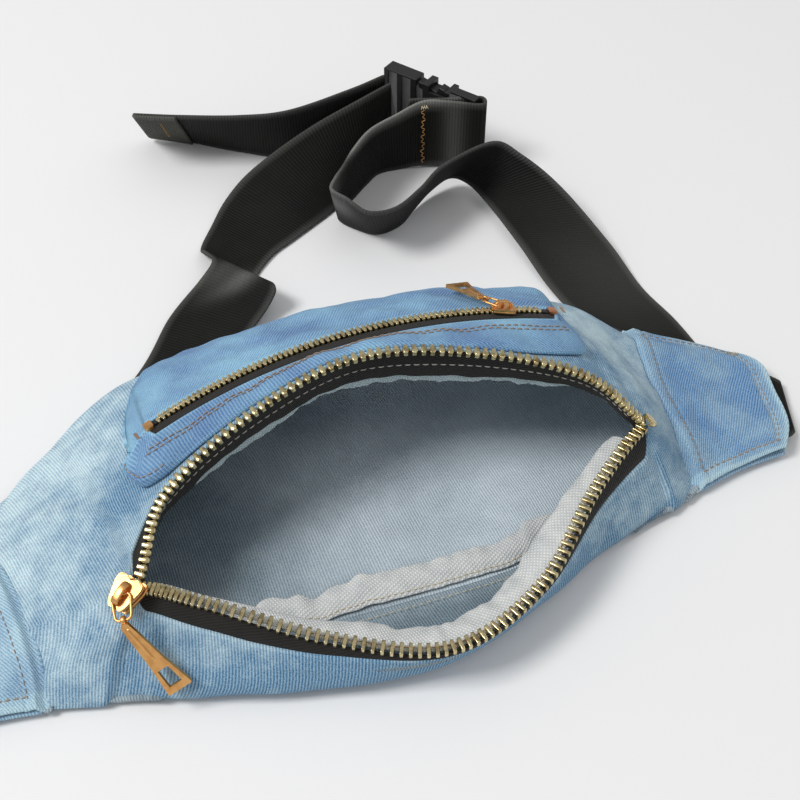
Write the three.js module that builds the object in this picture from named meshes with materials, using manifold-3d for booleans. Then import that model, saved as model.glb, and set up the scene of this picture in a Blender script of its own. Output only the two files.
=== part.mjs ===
// Denim waist pack lying open on its back, with its webbing belt folded behind it.
// Millimetres. +X runs along the bag to its right end, +Y from the mouth to the bag's bottom,
// +Z up from the table. The bag's back panel rests at z = 0.
import * as THREE from "three";
import { mergeVertices } from "three/addons/utils/BufferGeometryUtils.js";
import Module from "manifold-3d";

const wasm = await Module();
wasm.setup();

// ---- driving dimensions -------------------------------------------------------------------
const CLOTH = 1.6;              // denim with its seam allowance
const GAP = 0.35;               // clearance between neighbouring pieces
const TAPE = 0.8;               // zip tape and binding ribbon
const WEBBING = 1.5;            // belt webbing
const HEM = 2.0;                // one layer of the belt end's hem
const MAIN_TEETH = 78;          // teeth on each side of the main zip
const POCKET_TEETH = 64;        // teeth on each side of the pocket zip
const POCKET_DEPTH = 4.2;       // how far the empty pocket stands off the front panel
const WING_REST = 2.4;          // underside of the wings, clear of the belt below them
const MOUTH_START = 0.135;      // where the open zip begins along the body, left to right
const MOUTH_END = 0.865;
const SHIFT = new THREE.Vector3(0, 1.2, 0);

const V = (x, y, z) => new THREE.Vector3(x, y, z);
const mix = (a, b, t) => a.clone().lerp(b, t);
const clamp = (x, lo, hi) => Math.min(hi, Math.max(lo, x));
const smooth = (a, b, x) => {
  const t = clamp((x - a) / (b - a), 0, 1);
  return t * t * (3 - 2 * t);
};

// ---- materials ----------------------------------------------------------------------------
const LOOKS = {
  denim: { color: 0x86aac8, roughness: 0.95, metalness: 0 },
  denim_deep: { color: 0x6f98c4, roughness: 0.95, metalness: 0 },
  ribbon: { color: 0xe6e6e2, roughness: 0.8, metalness: 0 },
  tape: { color: 0x1f1f20, roughness: 0.9, metalness: 0 },
  webbing: { color: 0x1c1d1c, roughness: 0.8, metalness: 0 },
  plastic: { color: 0x2b2c2a, roughness: 0.5, metalness: 0 },
  brass: { color: 0xcdbb86, roughness: 0.35, metalness: 1 },
  gold: { color: 0xe0a765, roughness: 0.25, metalness: 1 },
  thread: { color: 0xc98a3c, roughness: 0.8, metalness: 0 },
};

const group = new THREE.Group();

function add(name, geometry, look) {
  geometry.translate(SHIFT.x, SHIFT.y, SHIFT.z);
  const mesh = new THREE.Mesh(geometry, new THREE.MeshStandardMaterial(LOOKS[look]));
  mesh.name = name;
  group.add(mesh);
}

// ---- geometry helpers ---------------------------------------------------------------------
function curve(points) {
  const line = new THREE.CatmullRomCurve3(points.map((p) => V(...p)), false, "catmullrom", 0.5);
  return (u) => line.getPoint(clamp(u, 0, 1));
}

function fromTriangles(positions, index) {
  const geometry = new THREE.BufferGeometry();
  geometry.setAttribute("position", new THREE.Float32BufferAttribute(positions, 3));
  geometry.setIndex(index);
  let volume = 0;
  const at = (i) => V(positions[3 * i], positions[3 * i + 1], positions[3 * i + 2]);
  for (let i = 0; i < index.length; i += 3) {
    volume += at(index[i]).dot(at(index[i + 1]).cross(at(index[i + 2])));
  }
  if (volume < 0) {
    for (let i = 0; i < index.length; i += 3) {
      [index[i + 1], index[i + 2]] = [index[i + 2], index[i + 1]];
    }
    geometry.setIndex(index);
  }
  geometry.computeVertexNormals();
  return geometry;
}

// A closed sheet of cloth: place(u, v) is one face, the other lies `thickness` along its normal.
// With `centred` the cloth lies half on each side of place(u, v).
function sheet(place, nu, nv, thickness, centred = false) {
  const positions = [];
  const step = 1e-3;
  const layer = (offset) => {
    for (let i = 0; i <= nu; i += 1) {
      for (let j = 0; j <= nv; j += 1) {
        const u = i / nu;
        const v = j / nv;
        const u0 = Math.max(0, u - step);
        const v0 = Math.max(0, v - step);
        const du = place(Math.min(1, u + step), v).sub(place(u0, v));
        const dv = place(u, Math.min(1, v + step)).sub(place(u, v0));
        const normal = du.cross(dv).normalize();
        const p = place(u, v).addScaledVector(normal, offset);
        positions.push(p.x, p.y, p.z);
      }
    }
  };
  layer(centred ? -thickness / 2 : 0);
  layer(centred ? thickness / 2 : thickness);
  const row = nv + 1;
  const count = (nu + 1) * row;
  const index = [];
  const quad = (a, b, c, d) => index.push(a, b, c, a, c, d);
  for (let i = 0; i < nu; i += 1) {
    for (let j = 0; j < nv; j += 1) {
      const a = i * row + j;
      quad(a, a + row, a + row + 1, a + 1);
      quad(count + a, count + a + 1, count + a + row + 1, count + a + row);
    }
    const a = i * row;
    const b = a + nv;
    quad(a, count + a, count + a + row, a + row);
    quad(b, b + row, count + b + row, count + b);
  }
  for (let j = 0; j < nv; j += 1) {
    const a = j;
    const b = nu * row + j;
    quad(a, a + 1, count + a + 1, count + a);
    quad(b, count + b, count + b + 1, b + 1);
  }
  return fromTriangles(positions, index);
}

// A flat strap whose two long edges follow `left` and `right`.
function ribbon(left, right, steps, thickness) {
  return sheet((u, v) => mix(left(u), right(u), v), steps, 1, thickness, true);
}

// A row of zip teeth: a square bar along `path` whose `inward` side steps out and in.
function comb(path, inward, up, teeth, from, reach) {
  const steps = teeth * 2;
  const positions = [];
  const index = [];
  for (let i = 0; i <= steps; i += 1) {
    const u = i / steps;
    const p = path(u);
    const side = inward(u);
    const lift = up(u);
    const tip = from + (i % 2 === 0 ? reach * 0.45 : reach);
    for (const [w, h] of [[from, -1.1], [tip, -1.1], [tip, 1.1], [from, 1.1]]) {
      const q = p.clone().addScaledVector(side, w).addScaledVector(lift, h);
      positions.push(q.x, q.y, q.z);
    }
  }
  const quad = (a, b, c, d) => index.push(a, b, c, a, c, d);
  for (let i = 0; i < steps; i += 1) {
    for (let k = 0; k < 4; k += 1) {
      const a = i * 4 + k;
      const b = i * 4 + ((k + 1) % 4);
      quad(a, a + 4, b + 4, b);
    }
  }
  quad(0, 1, 2, 3);
  const e = steps * 4;
  quad(e, e + 3, e + 2, e + 1);
  return fromTriangles(positions, index);
}

function placed(geometry, frame) {
  geometry.applyMatrix4(frame);
  return geometry;
}

function frameFrom(origin, x, z) {
  const X = x.clone().normalize();
  const Y = z.clone().cross(X).normalize();
  const Z = X.clone().cross(Y);
  return new THREE.Matrix4().makeBasis(X, Y, Z).setPosition(origin);
}

function block(cx, cy, cz, sx, sy, sz) {
  const geometry = new THREE.BoxGeometry(sx, sy, sz);
  geometry.translate(cx, cy, cz);
  return geometry;
}

function toManifold(geometry) {
  const bare = geometry.clone();
  bare.deleteAttribute("normal");
  bare.deleteAttribute("uv");
  const merged = mergeVertices(bare, 1e-4);
  return new wasm.Manifold(new wasm.Mesh({
    numProp: 3,
    vertProperties: new Float32Array(merged.attributes.position.array),
    triVerts: new Uint32Array(merged.index.array),
  }));
}

function fromManifold(solid) {
  const mesh = solid.getMesh();
  return fromTriangles(Array.from(mesh.vertProperties), Array.from(mesh.triVerts));
}

function carve(solids, holes = []) {
  let result = toManifold(solids[0]);
  for (const solid of solids.slice(1)) {
    result = result.add(toManifold(solid));
  }
  for (const hole of holes) {
    result = result.subtract(toManifold(hole));
  }
  return fromManifold(result);
}

// A flat plate cut from an outline in the local x-y plane, with optional holes.
function plate(outline, holes, thickness) {
  const shape = new THREE.Shape(outline.map(([x, y]) => new THREE.Vector2(x, y)));
  for (const hole of holes) {
    shape.holes.push(new THREE.Path(hole.map(([x, y]) => new THREE.Vector2(x, y))));
  }
  const geometry = new THREE.ExtrudeGeometry(shape, { depth: thickness, bevelEnabled: false });
  geometry.translate(0, 0, -thickness / 2);
  return geometry;
}

// ---- the bag's outer skin: lines that run from the left end seam to the right one ----------
const farLip = curve([
  [-118.3, -18, 14.5], [-84.7, -26.7, 30], [-66, -5, 43.5], [-31, 7.3, 57], [8, 11.5, 64.5],
  [47, -0.3, 63], [81, -15.5, 53], [101, -28, 32], [118.2, -25, 14.5],
]);
const frontUpper = curve([
  [-119.5, 3, 15.8], [-90, 10, 30], [-64, 17.5, 43], [-25, 24, 51], [10, 25, 53],
  [45, 19.5, 53.5], [82, 13, 48.5], [104, 5, 33], [121, -1, 15.5],
]);
const frontLower = curve([
  [-126.5, 24, 11.6], [-99, 49, 15], [-68, 60, 23], [-30, 63, 29.5], [5, 62, 32],
  [48, 53.5, 33], [87, 46, 27], [107, 41, 20], [128, 22, 12],
]);
const farFoot = curve([
  [-132, 38, 3.2], [-103, 59, 3.2], [-69, 73, 3.2], [-31, 77, 3.2], [5, 77, 3.2],
  [48, 71, 3.2], [88, 61, 3.2], [111, 51, 3.2], [133, 37.5, 3.2],
]);
const nearLip = curve([
  [-118.3, -18.6, 14.1], [-84.7, -27.5, 29.6], [-64.3, -40.1, 29], [-31, -63, 22.5],
  [5, -80, 21.5], [40.7, -70.3, 23], [72, -46, 29], [101, -28.8, 31.6], [118.2, -25.6, 14.1],
]);
const nearWall = curve([
  [-118.5, -33, 8.5], [-94, -40.5, 15], [-69, -52.5, 14], [-35, -68.5, 12], [5, -78.6, 11],
  [43, -68.5, 12], [76.5, -50, 14], [104.5, -42, 13], [118.6, -35, 8.5],
]);
const nearFoot = curve([
  [-118.7, -43, 3.4], [-97.9, -43.5, 2.4], [-75.3, -50, 1.6], [-36, -61, 1.5],
  [5, -69, 1.5], [44, -60.5, 1.5], [77.5, -49, 1.6], [103, -45.5, 2.4], [118.9, -42.6, 3.4],
]);
const backSeam = curve([
  [-118.6, -37, 2.6], [-97, -37, 1.2], [-72, -39.5, 0.2], [-36, -43.5, 0.05],
  [5, -46.5, 0.05], [44, -47.5, 0.05], [78, -42, 0.2], [103, -38, 1.2], [118.8, -36.5, 2.6],
]);

function through(lines, u, v) {
  const line = new THREE.CatmullRomCurve3(lines.map((l) => l(u)), false, "catmullrom", 0.5);
  return line.getPoint(clamp(v, 0, 1));
}
const frontSkin = (u, v) => through([farLip, frontUpper, frontLower, farFoot], u, v);
const nearSkin = (u, v) => through([nearLip, nearWall, nearFoot, backSeam], u, v);

function frontNormal(u, v) {
  const e = 2e-3;
  const du = frontSkin(Math.min(1, u + e), v).sub(frontSkin(Math.max(0, u - e), v));
  const dv = frontSkin(u, Math.min(1, v + e)).sub(frontSkin(u, Math.max(0, v - e)));
  return du.cross(dv).normalize();
}

// front panel: from the far lip over the top and down to the far foot
add("front_panel", sheet((u, v) => frontSkin(0.002 + 0.996 * u, 0.03 + 0.97 * v), 32, 8, -CLOTH), "denim");

// near panel: from the near lip's tape down, then along the table to the back panel's seam
const inMouth = (u) => smooth(MOUTH_START, MOUTH_START + 0.05, u) * (1 - smooth(MOUTH_END - 0.05, MOUTH_END, u));
const nearTop = (u) => 0.08 + 0.1 * inMouth(u);
add("near_panel", sheet((u, v) => {
  const uu = 0.002 + 0.996 * u;
  const top = nearTop(uu);
  return nearSkin(uu, top + (1 - top) * v);
}, 32, 7, CLOTH), "denim");

// back panel: flat on the table in the middle, its rim a little raised, and its far left corner
// raised over the belt that runs out beneath it
const BELT_EDGE = { x: -138, y: -9, nx: 0.595, ny: -0.804 };
function backRise(x, y) {
  const inside = (x - BELT_EDGE.x) * BELT_EDGE.nx + (y - BELT_EDGE.y) * BELT_EDGE.ny;
  return 2.5 * (1 - smooth(4, 34, inside));
}
add("back_panel", sheet((u, v) => {
  const uu = 0.01 + 0.98 * u;
  const near = backSeam(uu).add(V(0, GAP + 0.1, 0));
  const far = farFoot(uu).add(V(0, -4 - 3 * smooth(0.7, 1, Math.abs(2 * uu - 1)), 0));
  const p = through([() => near, frontUpper, () => far], uu, v);
  const rim = Math.max(smooth(0.72, 1, v), smooth(0.84, 1, Math.abs(2 * uu - 1)));
  p.z = Math.max(rim * 2.9, near.z * (1 - smooth(0, 0.2, v)), backRise(p.x, p.y));
  return p;
}, 24, 9, CLOTH), "denim");

// ---- main zip: both lips stand open ---------------------------------------------------------
const mouth = (u) => MOUTH_START + 0.012 + (MOUTH_END - MOUTH_START - 0.024) * u;
const mouthward = (line, u) => {
  const e = 2e-3;
  const along = line(Math.min(1, u + e)).sub(line(Math.max(0, u - e))).setZ(0).normalize();
  return V(along.y, -along.x, 0);
};
const up = () => V(0, 0, 1);
const farIn = (u) => mouthward(farLip, mouth(u));
const nearIn = (u) => mouthward(nearLip, mouth(u)).negate();

const farTeethLine = (u) => farLip(mouth(u)).add(V(0, 0, -0.4));
const nearTeethLine = (u) => nearLip(mouth(u)).add(V(0, 0, 0.2));
const inset = (line, margin) => (u) => line(margin + (1 - 2 * margin) * u);
add("main_teeth_far", comb(inset(farTeethLine, 0.02), inset(farIn, 0.02), up, MAIN_TEETH, 0.4, 3.4), "brass");
add("main_teeth_near", comb(inset(nearTeethLine, 0.03), inset(nearIn, 0.03), up, MAIN_TEETH, 0.4, 3.4), "brass");

add("main_tape_far", sheet((u, v) => {
  const m = 0.04 + 0.92 * u;
  const drop = 1.9 + v * 11 * (0.45 + 0.55 * Math.sin(Math.PI * u));
  return farTeethLine(m).addScaledVector(farIn(m), 0.7).add(V(0, 0, -drop));
}, 28, 2, TAPE), "tape");

add("main_tape_near", sheet((u, v) => {
  const m = 0.03 + 0.94 * u;
  const uu = mouth(m);
  return nearSkin(uu, 0.012 + (nearTop(uu) - 0.012) * 0.86 * v).add(V(0, 0, -1.4 * (1 - v)));
}, 28, 2, TAPE), "tape");

// white ribbon along the inside of the near lip, and on the back panel's seam
add("lip_binding", sheet((u, v) => {
  const m = 0.06 + 0.87 * u;
  const ruffle = 0.6 * Math.sin(34 * u);
  const full = Math.sin(Math.PI * u);
  const base = nearTeethLine(m).addScaledVector(nearIn(m), 2.1 + (0.5 * ruffle + 1.2 + 5 * full) * v);
  return base.add(V(0, 0, -1.8 - (8 - 2 * full) * v));
}, 28, 2, -TAPE), "ribbon");

add("seam_binding", sheet((u, v) => {
  const seam = backSeam(0.27 + 0.46 * u);
  return seam.add(V(0, 2.8 + 6.4 * v + 0.5 * Math.sin(25 * u), 3.1 + 3 * v));
}, 16, 2, TAPE), "ribbon");

// end stops of the main zip
const leftCorner = V(-84.7, -27.1, 30);
const rightCorner = V(101, -28.4, 32);
add("main_top_stop", placed(block(0, 0, 0, 3.4, 5.4, 2.6),
  frameFrom(rightCorner.clone().add(V(0.4, 0, 3.4)), V(0.7, 0, -0.6), V(0.5, 0, 0.8))), "brass");

// ---- sliders --------------------------------------------------------------------------------
// Local frame: x along the zip towards its closed end's far side, y across, z away from the bag.
const SLIDER = { length: 11, width: 9.6, plate: 1.1, gap: 3.4, bridge: 2.6 };

function sliderBody(scale) {
  const L = SLIDER.length * scale;
  const W = SLIDER.width * scale;
  const T = SLIDER.plate * scale;
  const G = SLIDER.gap * scale;
  const top = plate([
    [-L * 0.5, -W * 0.32], [-L * 0.1, -W * 0.42], [L * 0.42, -W * 0.5], [L * 0.5, -W * 0.3],
    [L * 0.5, W * 0.3], [L * 0.42, W * 0.5], [-L * 0.1, W * 0.42], [-L * 0.5, W * 0.32],
  ], [], T);
  const bottom = top.clone();
  top.translate(0, 0, G / 2 + T / 2);
  bottom.translate(0, 0, -G / 2 - T / 2);
  const post = block(L * 0.34, 0, 0, L * 0.2, 0.7, G + T);
  const arch = carve([
    block(-L * 0.02, 0, G / 2 + T + SLIDER.bridge * scale * 0.5 - 0.1, L * 0.62, W * 0.18, SLIDER.bridge * scale + 0.2),
  ], [
    block(-L * 0.02, 0, G / 2 + T + SLIDER.bridge * scale * 0.36, L * 0.42, W, SLIDER.bridge * scale * 0.72),
  ]);
  const rail = (side, end) => block(-L * 0.1, side * W * 0.36, end * G * 0.47, L * 0.5, W * 0.1, G * 0.14);
  return carve([top, bottom, post, arch, rail(1, 1), rail(-1, 1), rail(1, -1), rail(-1, -1)]);
}
// height of the middle of the bridge's window over the slider's centre
const windowHeight = (scale) => scale * (SLIDER.gap / 2 + SLIDER.plate + SLIDER.bridge * 0.36);

// A stirrup link: a rectangular ring in its local x-y plane, its near bar on the x = 0 line.
function stirrup(length, width, wire) {
  const h = width / 2;
  return plate([
    [-wire / 2, -h], [length, -h * 0.85], [length, h * 0.85], [-wire / 2, h],
  ], [[
    [wire / 2, -h + wire], [length - wire, -h * 0.85 + wire],
    [length - wire, h * 0.85 - wire], [wire / 2, h - wire],
  ]], wire);
}

// A tapered puller plate that starts in a knuckle and ends in a wide tip with a slot.
function pullerPlate(length, root, tip, thickness, slot) {
  return plate([
    [0, -root / 2], [length * 0.2, -root / 2], [length - 1, -tip / 2], [length, -tip / 2 + 1],
    [length, tip / 2 - 1], [length - 1, tip / 2], [length * 0.2, root / 2], [0, root / 2],
  ], [[
    [length - slot - 2.2, -tip * 0.26], [length - 2.2, -tip * 0.26],
    [length - 2.2, tip * 0.26], [length - slot - 2.2, tip * 0.26],
  ]], thickness);
}

// main slider, stopped at the left corner of the mouth, its puller lying on the near panel
const mainUp = V(-0.31, -0.3, 0.9).normalize();
const mainAlong = V(0.74, 0.517, 0.428);
const mainAt = V(-84.6, -30.2, 32.6);
const mainFrame = frameFrom(mainAt, mainAlong, mainUp);
add("main_slider", placed(sliderBody(1), mainFrame), "gold");

const MAIN_LINK = { length: 8.6, width: 7.2, wire: 0.9 };
const mainLinkAt = mainAt.clone().addScaledVector(mainUp, windowHeight(1)).addScaledVector(mainAlong, -0.8);
const mainLinkDir = V(-0.16, -0.92, -0.36).normalize();
add("main_link", placed(stirrup(MAIN_LINK.length, MAIN_LINK.width, MAIN_LINK.wire),
  frameFrom(mainLinkAt, mainLinkDir, mainUp)), "gold");
const mainPullerAt = mainLinkAt.clone().addScaledVector(mainLinkDir, MAIN_LINK.length + 1);
const mainPullDir = V(0.4, -0.56, -0.725).normalize();
add("main_puller", placed(pullerPlate(27.5, 4.4, 9, 1.3, 6.5),
  frameFrom(mainPullerAt, mainPullDir, V(-0.3, -0.85, 0.45))), "gold");

// ---- front pocket: its zip follows a circular arc, so its slider turns about the arc's axis --
const trackMid = V(10, 26.5, 57.9);
const trackAlong = V(0.999, -0.0308, 0.0342).normalize();
const trackOut = V(0, 0.806, 0.592);
trackOut.addScaledVector(trackAlong, -trackOut.dot(trackAlong)).normalize();
const TRACK_RADIUS = 231;
const trackAxis = trackAlong.clone().cross(trackOut).normalize();
const trackCentre = trackMid.clone().addScaledVector(trackOut, -TRACK_RADIUS);
const trackUp = V(0, 0.342, 0.94);
trackUp.addScaledVector(trackAlong, -trackUp.dot(trackAlong)).normalize();
const trackSide = trackUp.clone().cross(trackAlong).normalize();
const ZIP_LEFT = 18.3;          // degrees along the arc from its middle, to the left and right
const ZIP_RIGHT = -18.3;

// A point on the pocket's zip: `degrees` along the arc, `across` towards the bag's bottom.
function onTrack(degrees, across, height) {
  const p = trackMid.clone().sub(trackCentre);
  p.addScaledVector(trackSide, across).addScaledVector(trackUp, height);
  p.applyAxisAngle(trackAxis, THREE.MathUtils.degToRad(degrees));
  return p.add(trackCentre);
}
const turned = (vector, degrees) => vector.clone().applyAxisAngle(trackAxis, THREE.MathUtils.degToRad(degrees));
const along = (u, margin) => ZIP_LEFT - margin + (ZIP_RIGHT - ZIP_LEFT + 2 * margin) * u;

function pocketTape(side) {
  return sheet((u, v) => onTrack(along(u, 0.1), side * (2.75 + 3.5 * v), 0), 24, 1, TAPE, true);
}
add("pocket_tape_lower", pocketTape(-1), "tape");
add("pocket_tape_upper", pocketTape(1), "tape");

function pocketTeeth(side, phase) {
  const degrees = (u) => along(u, 1 + phase);
  return comb((u) => onTrack(degrees(u), side * 2.4, 0), (u) => turned(trackSide, degrees(u)).multiplyScalar(-side),
    (u) => turned(trackUp, degrees(u)).multiplyScalar(0.8), POCKET_TEETH, 0, 1.65);
}
add("pocket_teeth_lower", pocketTeeth(-1, 0), "brass");
add("pocket_teeth_upper", pocketTeeth(1, 0.28), "brass");

function zipStop(degrees, length) {
  return placed(block(0, 0, 0, length, 4.8, 2.2), frameFrom(onTrack(degrees, 0, 0.1),
    turned(trackAlong, degrees), turned(trackUp, degrees)));
}
add("pocket_bottom_stop", zipStop(ZIP_LEFT + 0.0, 3.0), "gold");
add("pocket_top_stop", zipStop(ZIP_RIGHT - 0.0, 3.0), "gold");

// pocket cloth: a lower strip towards the lip, an upper panel over the front, and both ends
const POCKET_U = { left: 0.18, right: 0.835 };
const zipU = (u) => POCKET_U.left + 0.035 + (POCKET_U.right - POCKET_U.left - 0.07) * u;

function lifted(u, v, height) {
  return frontSkin(u, v).addScaledVector(frontNormal(u, v), height);
}
const lowerEdgeV = (u) => 0.1 + 0.12 * (1 - smooth(0, 0.18, u)) + 0.1 * smooth(0.75, 1, u);
add("pocket_lower", sheet((u, v) => {
  const zip = onTrack(along(u, 0.1), -6.7, 0.1);
  const edge = lifted(zipU(u), lowerEdgeV(u) * 0.67, GAP);
  const p = mix(zip, edge, v);
  return p.addScaledVector(turned(trackUp, along(u, 0)), 1.3 * Math.sin(Math.PI * v));
}, 22, 3, -CLOTH), "denim_deep");

add("pocket_upper", sheet((u, v) => {
  const zip = onTrack(along(u, 0.1), 6.7, 0.1);
  const uu = zipU(u);
  const reach = smooth(0, 0.4, u);
  const low = lifted(uu, 0.62 + 0.26 * reach, GAP);
  const mid = lifted(uu, 0.52 + 0.12 * reach, POCKET_DEPTH * (0.75 + 0.25 * reach));
  const line = new THREE.CatmullRomCurve3([zip, mid, low], false, "catmullrom", 0.5);
  return line.getPoint(v);
}, 22, 6, CLOTH), "denim_deep");

function pocketEnd(side) {
  const degrees = side < 0 ? ZIP_LEFT + 0.85 : ZIP_RIGHT - 0.85;
  const inner = side < 0 ? POCKET_U.left + 0.029 : POCKET_U.right - 0.025;
  const outer = side < 0 ? POCKET_U.left - 0.012 : POCKET_U.right + 0.014;
  const lowV = side < 0 ? 0.15 : 0.135;
  const topV = side < 0 ? 0.6 : 0.86;
  return sheet((u, v) => {
    const vv = lowV + (topV - lowV) * v;
    const crest = Math.sin(Math.PI * clamp(v * 1.2, 0, 1)) * 0.5 + 0.5;
    const zipHeight = 1 - smooth(0, 0.35, Math.abs(vv - 0.33));
    const rise = GAP + (POCKET_DEPTH * 0.7 * crest + 0.6 * zipHeight) * (1 - u);
    return lifted(inner + (outer - inner) * u, vv, rise);
  }, 3, 8, CLOTH * (side < 0 ? -1 : 1));
}
add("pocket_end_left", pocketEnd(-1), "denim_deep");
add("pocket_end_right", pocketEnd(1), "denim_deep");

// pocket slider near the right end of its zip, its puller turned over onto the upper panel
const POCKET_SLIDER = -13.9;    // degrees along the arc
const SMALL = 0.8;
const pocketFrame = frameFrom(onTrack(POCKET_SLIDER, 0, 0), turned(trackAlong, POCKET_SLIDER),
  turned(trackUp, POCKET_SLIDER));
add("pocket_slider", placed(sliderBody(SMALL), pocketFrame), "gold");

const POCKET_LINK = { length: 7, width: 5.6, wire: 0.7 };
const local = (x, y, z) => V(x, y, z).applyMatrix4(pocketFrame);
const localDir = (x, y, z) => local(x, y, z).sub(local(0, 0, 0)).normalize();
const pocketLinkAt = local(-0.6, 0, windowHeight(SMALL));
const pocketLinkDir = localDir(-0.77, 0.64, 0.08);
add("pocket_link", placed(stirrup(POCKET_LINK.length, POCKET_LINK.width, POCKET_LINK.wire),
  frameFrom(pocketLinkAt, pocketLinkDir, localDir(0, 0, 1))), "gold");
const pocketPullerAt = pocketLinkAt.clone().addScaledVector(pocketLinkDir, POCKET_LINK.length + 1.35);
const pocketPullDir = localDir(-0.22, 0.96, -0.13);
add("pocket_puller", placed(pullerPlate(20, 4.2, 9, 1.2, 6),
  frameFrom(pocketPullerAt, pocketPullDir, localDir(0, 0, 1))), "gold");

// ---- wings ----------------------------------------------------------------------------------
const seamLine = curve([
  [119.8, -42.6, 4.4], [119.0, -26.5, 14.5], [122, -1, 15.5], [129, 22, 12], [134.2, 37, 4.4],
]);
const tipLine = curve([
  [157.5, -39.2, 5], [165.4, -29, 6.6], [169.6, -14, 6.9], [172.5, -1.5, 6.6], [167.5, 10.5, 5],
]);
const nearEdgeY = (a) => 2.2 * Math.sin(Math.PI * a);

function wingSkin(a, b) {
  const p = mix(seamLine(b), tipLine(b), a);
  const seamRise = seamLine(b).z;
  const tipRise = tipLine(b).z;
  const fall = Math.pow(1 - a, 1.5);
  p.z = tipRise + (seamRise - tipRise) * fall;
  p.y += nearEdgeY(a) * (1 - b) * 0.6;
  return p;
}

function wing(side) {
  const name = side > 0 ? "right" : "left";
  const flip = (p) => (side > 0 ? p : V(-p.x, p.y, p.z));
  const front = sheet((a, b) => {
    const p = wingSkin(a, b);
    const middle = 1 - Math.pow(Math.abs(2 * b - 1), 8);
    p.z = Math.max(p.z, WING_REST + 2 * CLOTH + GAP + 2.3 * middle);
    return flip(p);
  }, 8, 8, side > 0 ? -CLOTH : CLOTH);
  add(`wing_front_${name}`, front, "denim");
  const back = sheet((a, b) => {
    const p = wingSkin(a, b);
    p.x += 0.3 * (1 - a);
    p.z = WING_REST;
    return flip(p);
  }, 6, 6, side > 0 ? CLOTH : -CLOTH);
  add(`wing_back_${name}`, back, "denim");
}
wing(1);
wing(-1);

// ---- belt ------------------------------------------------------------------------------------
// Each half leaves its wing's tip between the two cloth layers, turns under the wing and runs
// out behind the bag. Both long edges are given, in order from the wing to the buckle.
// Near the buckle both edges share one plan, the foot on the table and the top above it.
const upright = (points) => ({
  foot: points.map(([x, y]) => [x, y, 2.3]),
  top: points.map(([x, y]) => [x, y, 36.3]),
});
const sewnEnd = upright([
  [99, 173.6], [110, 169.1], [121.5, 162.3], [124.8, 163.2], [125.0, 166.6], [121.2, 168.6],
  [116, 169.8], [109, 171.9], [97.5, 176.1], [94, 177],
]);
const rightInner = curve([
  [160, -1, 5.3], [172, -3, 5.2], [179.4, -9, 3.4], [172, -1.5, 1.2], [152, 20, 0.95],
  [136, 38, 0.95], [122, 55, 0.95], [117.5, 75, 1.5], [116, 103, 4], [114, 131, 5.5],
  [110.5, 147, 7], [104, 154, 7], [93, 151.5, 4], [82.5, 145, 1.6], [73, 138, 0.9],
  [62, 136.5, 0.9], [54, 144, 0.9], [50, 152, 0.9], [54, 159, 0.9], [61, 164, 0.9],
  [69, 170.5, 0.9], [78, 176.5, 0.9], [88, 176.5, 0.9], ...sewnEnd.foot,
]);
const rightOuter = curve([
  [148, -33, 5.3], [161, -34, 5.2], [169.5, -31.5, 3.2], [165.5, -26, 0.95], [158, -8, 0.95],
  [157, 18, 0.95], [156, 40, 0.95], [152.5, 62, 1.5], [150.5, 88, 6], [140.5, 117, 18],
  [128, 132, 28], [116.5, 137.5, 34], [92, 133, 32], [78, 125, 29.5], [64, 118, 28.5],
  [52, 119, 29], [46, 129, 30.4], [42, 136.5, 31], [46, 143, 31], [51.5, 148.5, 31.5],
  [60, 157.5, 32.5], [71, 166.5, 33.3], [85, 171.5, 34], ...sewnEnd.top,
]);
// the left half, ending where it meets the buckle
const leftOuter = curve([
  [-160, -1, 5.3], [-172, -3, 5.2], [-179.4, -9, 3.4], [-172, -1, 1.2], [-150, 19, 0.95],
  [-125, 42, 0.95], [-95, 66, 0.95], [-58, 93, 1.2], [-37, 115.5, 2.4], [-20, 129, 6],
  [-12.5, 134, 10.5], [-13.5, 143, 8.4], [-13, 154, 1.8], [-5, 166, 1.6], [5, 178, 4],
  [16, 179.5, 14], [33, 183.5, 21], [53.7, 188, 27], [75, 190.5, 32.5], [91, 194.5, 34.6],
]);
const leftInner = curve([
  [-148, -33, 5.3], [-161, -34, 5.2], [-169.5, -31.5, 3.2], [-165, -26, 0.95], [-138, -9, 0.95],
  [-106, 13, 0.95], [-74, 38, 0.95], [-34, 68, 1.2], [-12, 93, 2.4], [1, 102.5, 8],
  [6, 107, 12.5], [4.5, 115, 9.5], [1, 125, 1.6], [13, 138.5, 1.2], [26, 146, 1],
  [38, 152.5, 1], [50, 159.5, 1], [62, 169.5, 1], [75, 181, 1], [91, 194.5, 1],
]);
// its free end, back from the buckle, with a folded and sewn hem
const tailTop = curve([
  [90.5, 201, 35], [72, 196, 35], [42, 193, 33.5], [20.5, 201, 31], [-4, 212, 30], [-17.5, 218, 28.5],
]);
const tailFoot = curve([
  [90.5, 201, 1.2], [74, 200.5, 1.2], [46, 202.5, 1], [23, 216.5, 1], [1.5, 234, 1], [-11, 241.5, 1],
]);
const hemBack = V(0.35, 0.75, 0.25).normalize().multiplyScalar(HEM);
const hemTop = (u) => tailTop(1 - 0.13 * u).add(hemBack);
const hemFoot = (u) => tailFoot(1 - 0.13 * u).add(hemBack);

add("belt_right", ribbon(rightInner, rightOuter, 92, WEBBING), "webbing");
add("belt_left", ribbon(leftOuter, leftInner, 60, WEBBING), "webbing");
add("belt_tail", ribbon(tailTop, tailFoot, 20, WEBBING), "webbing");
add("belt_hem", ribbon(hemTop, hemFoot, 4, WEBBING), "webbing");
add("belt_bartack", placed(block(0, 0, 0, 1.6, 0.7, 31), frameFrom(V(98.2, 172.4, 19.2), V(0.93, -0.36, 0),
  V(0, 0, 1))), "thread");

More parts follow.
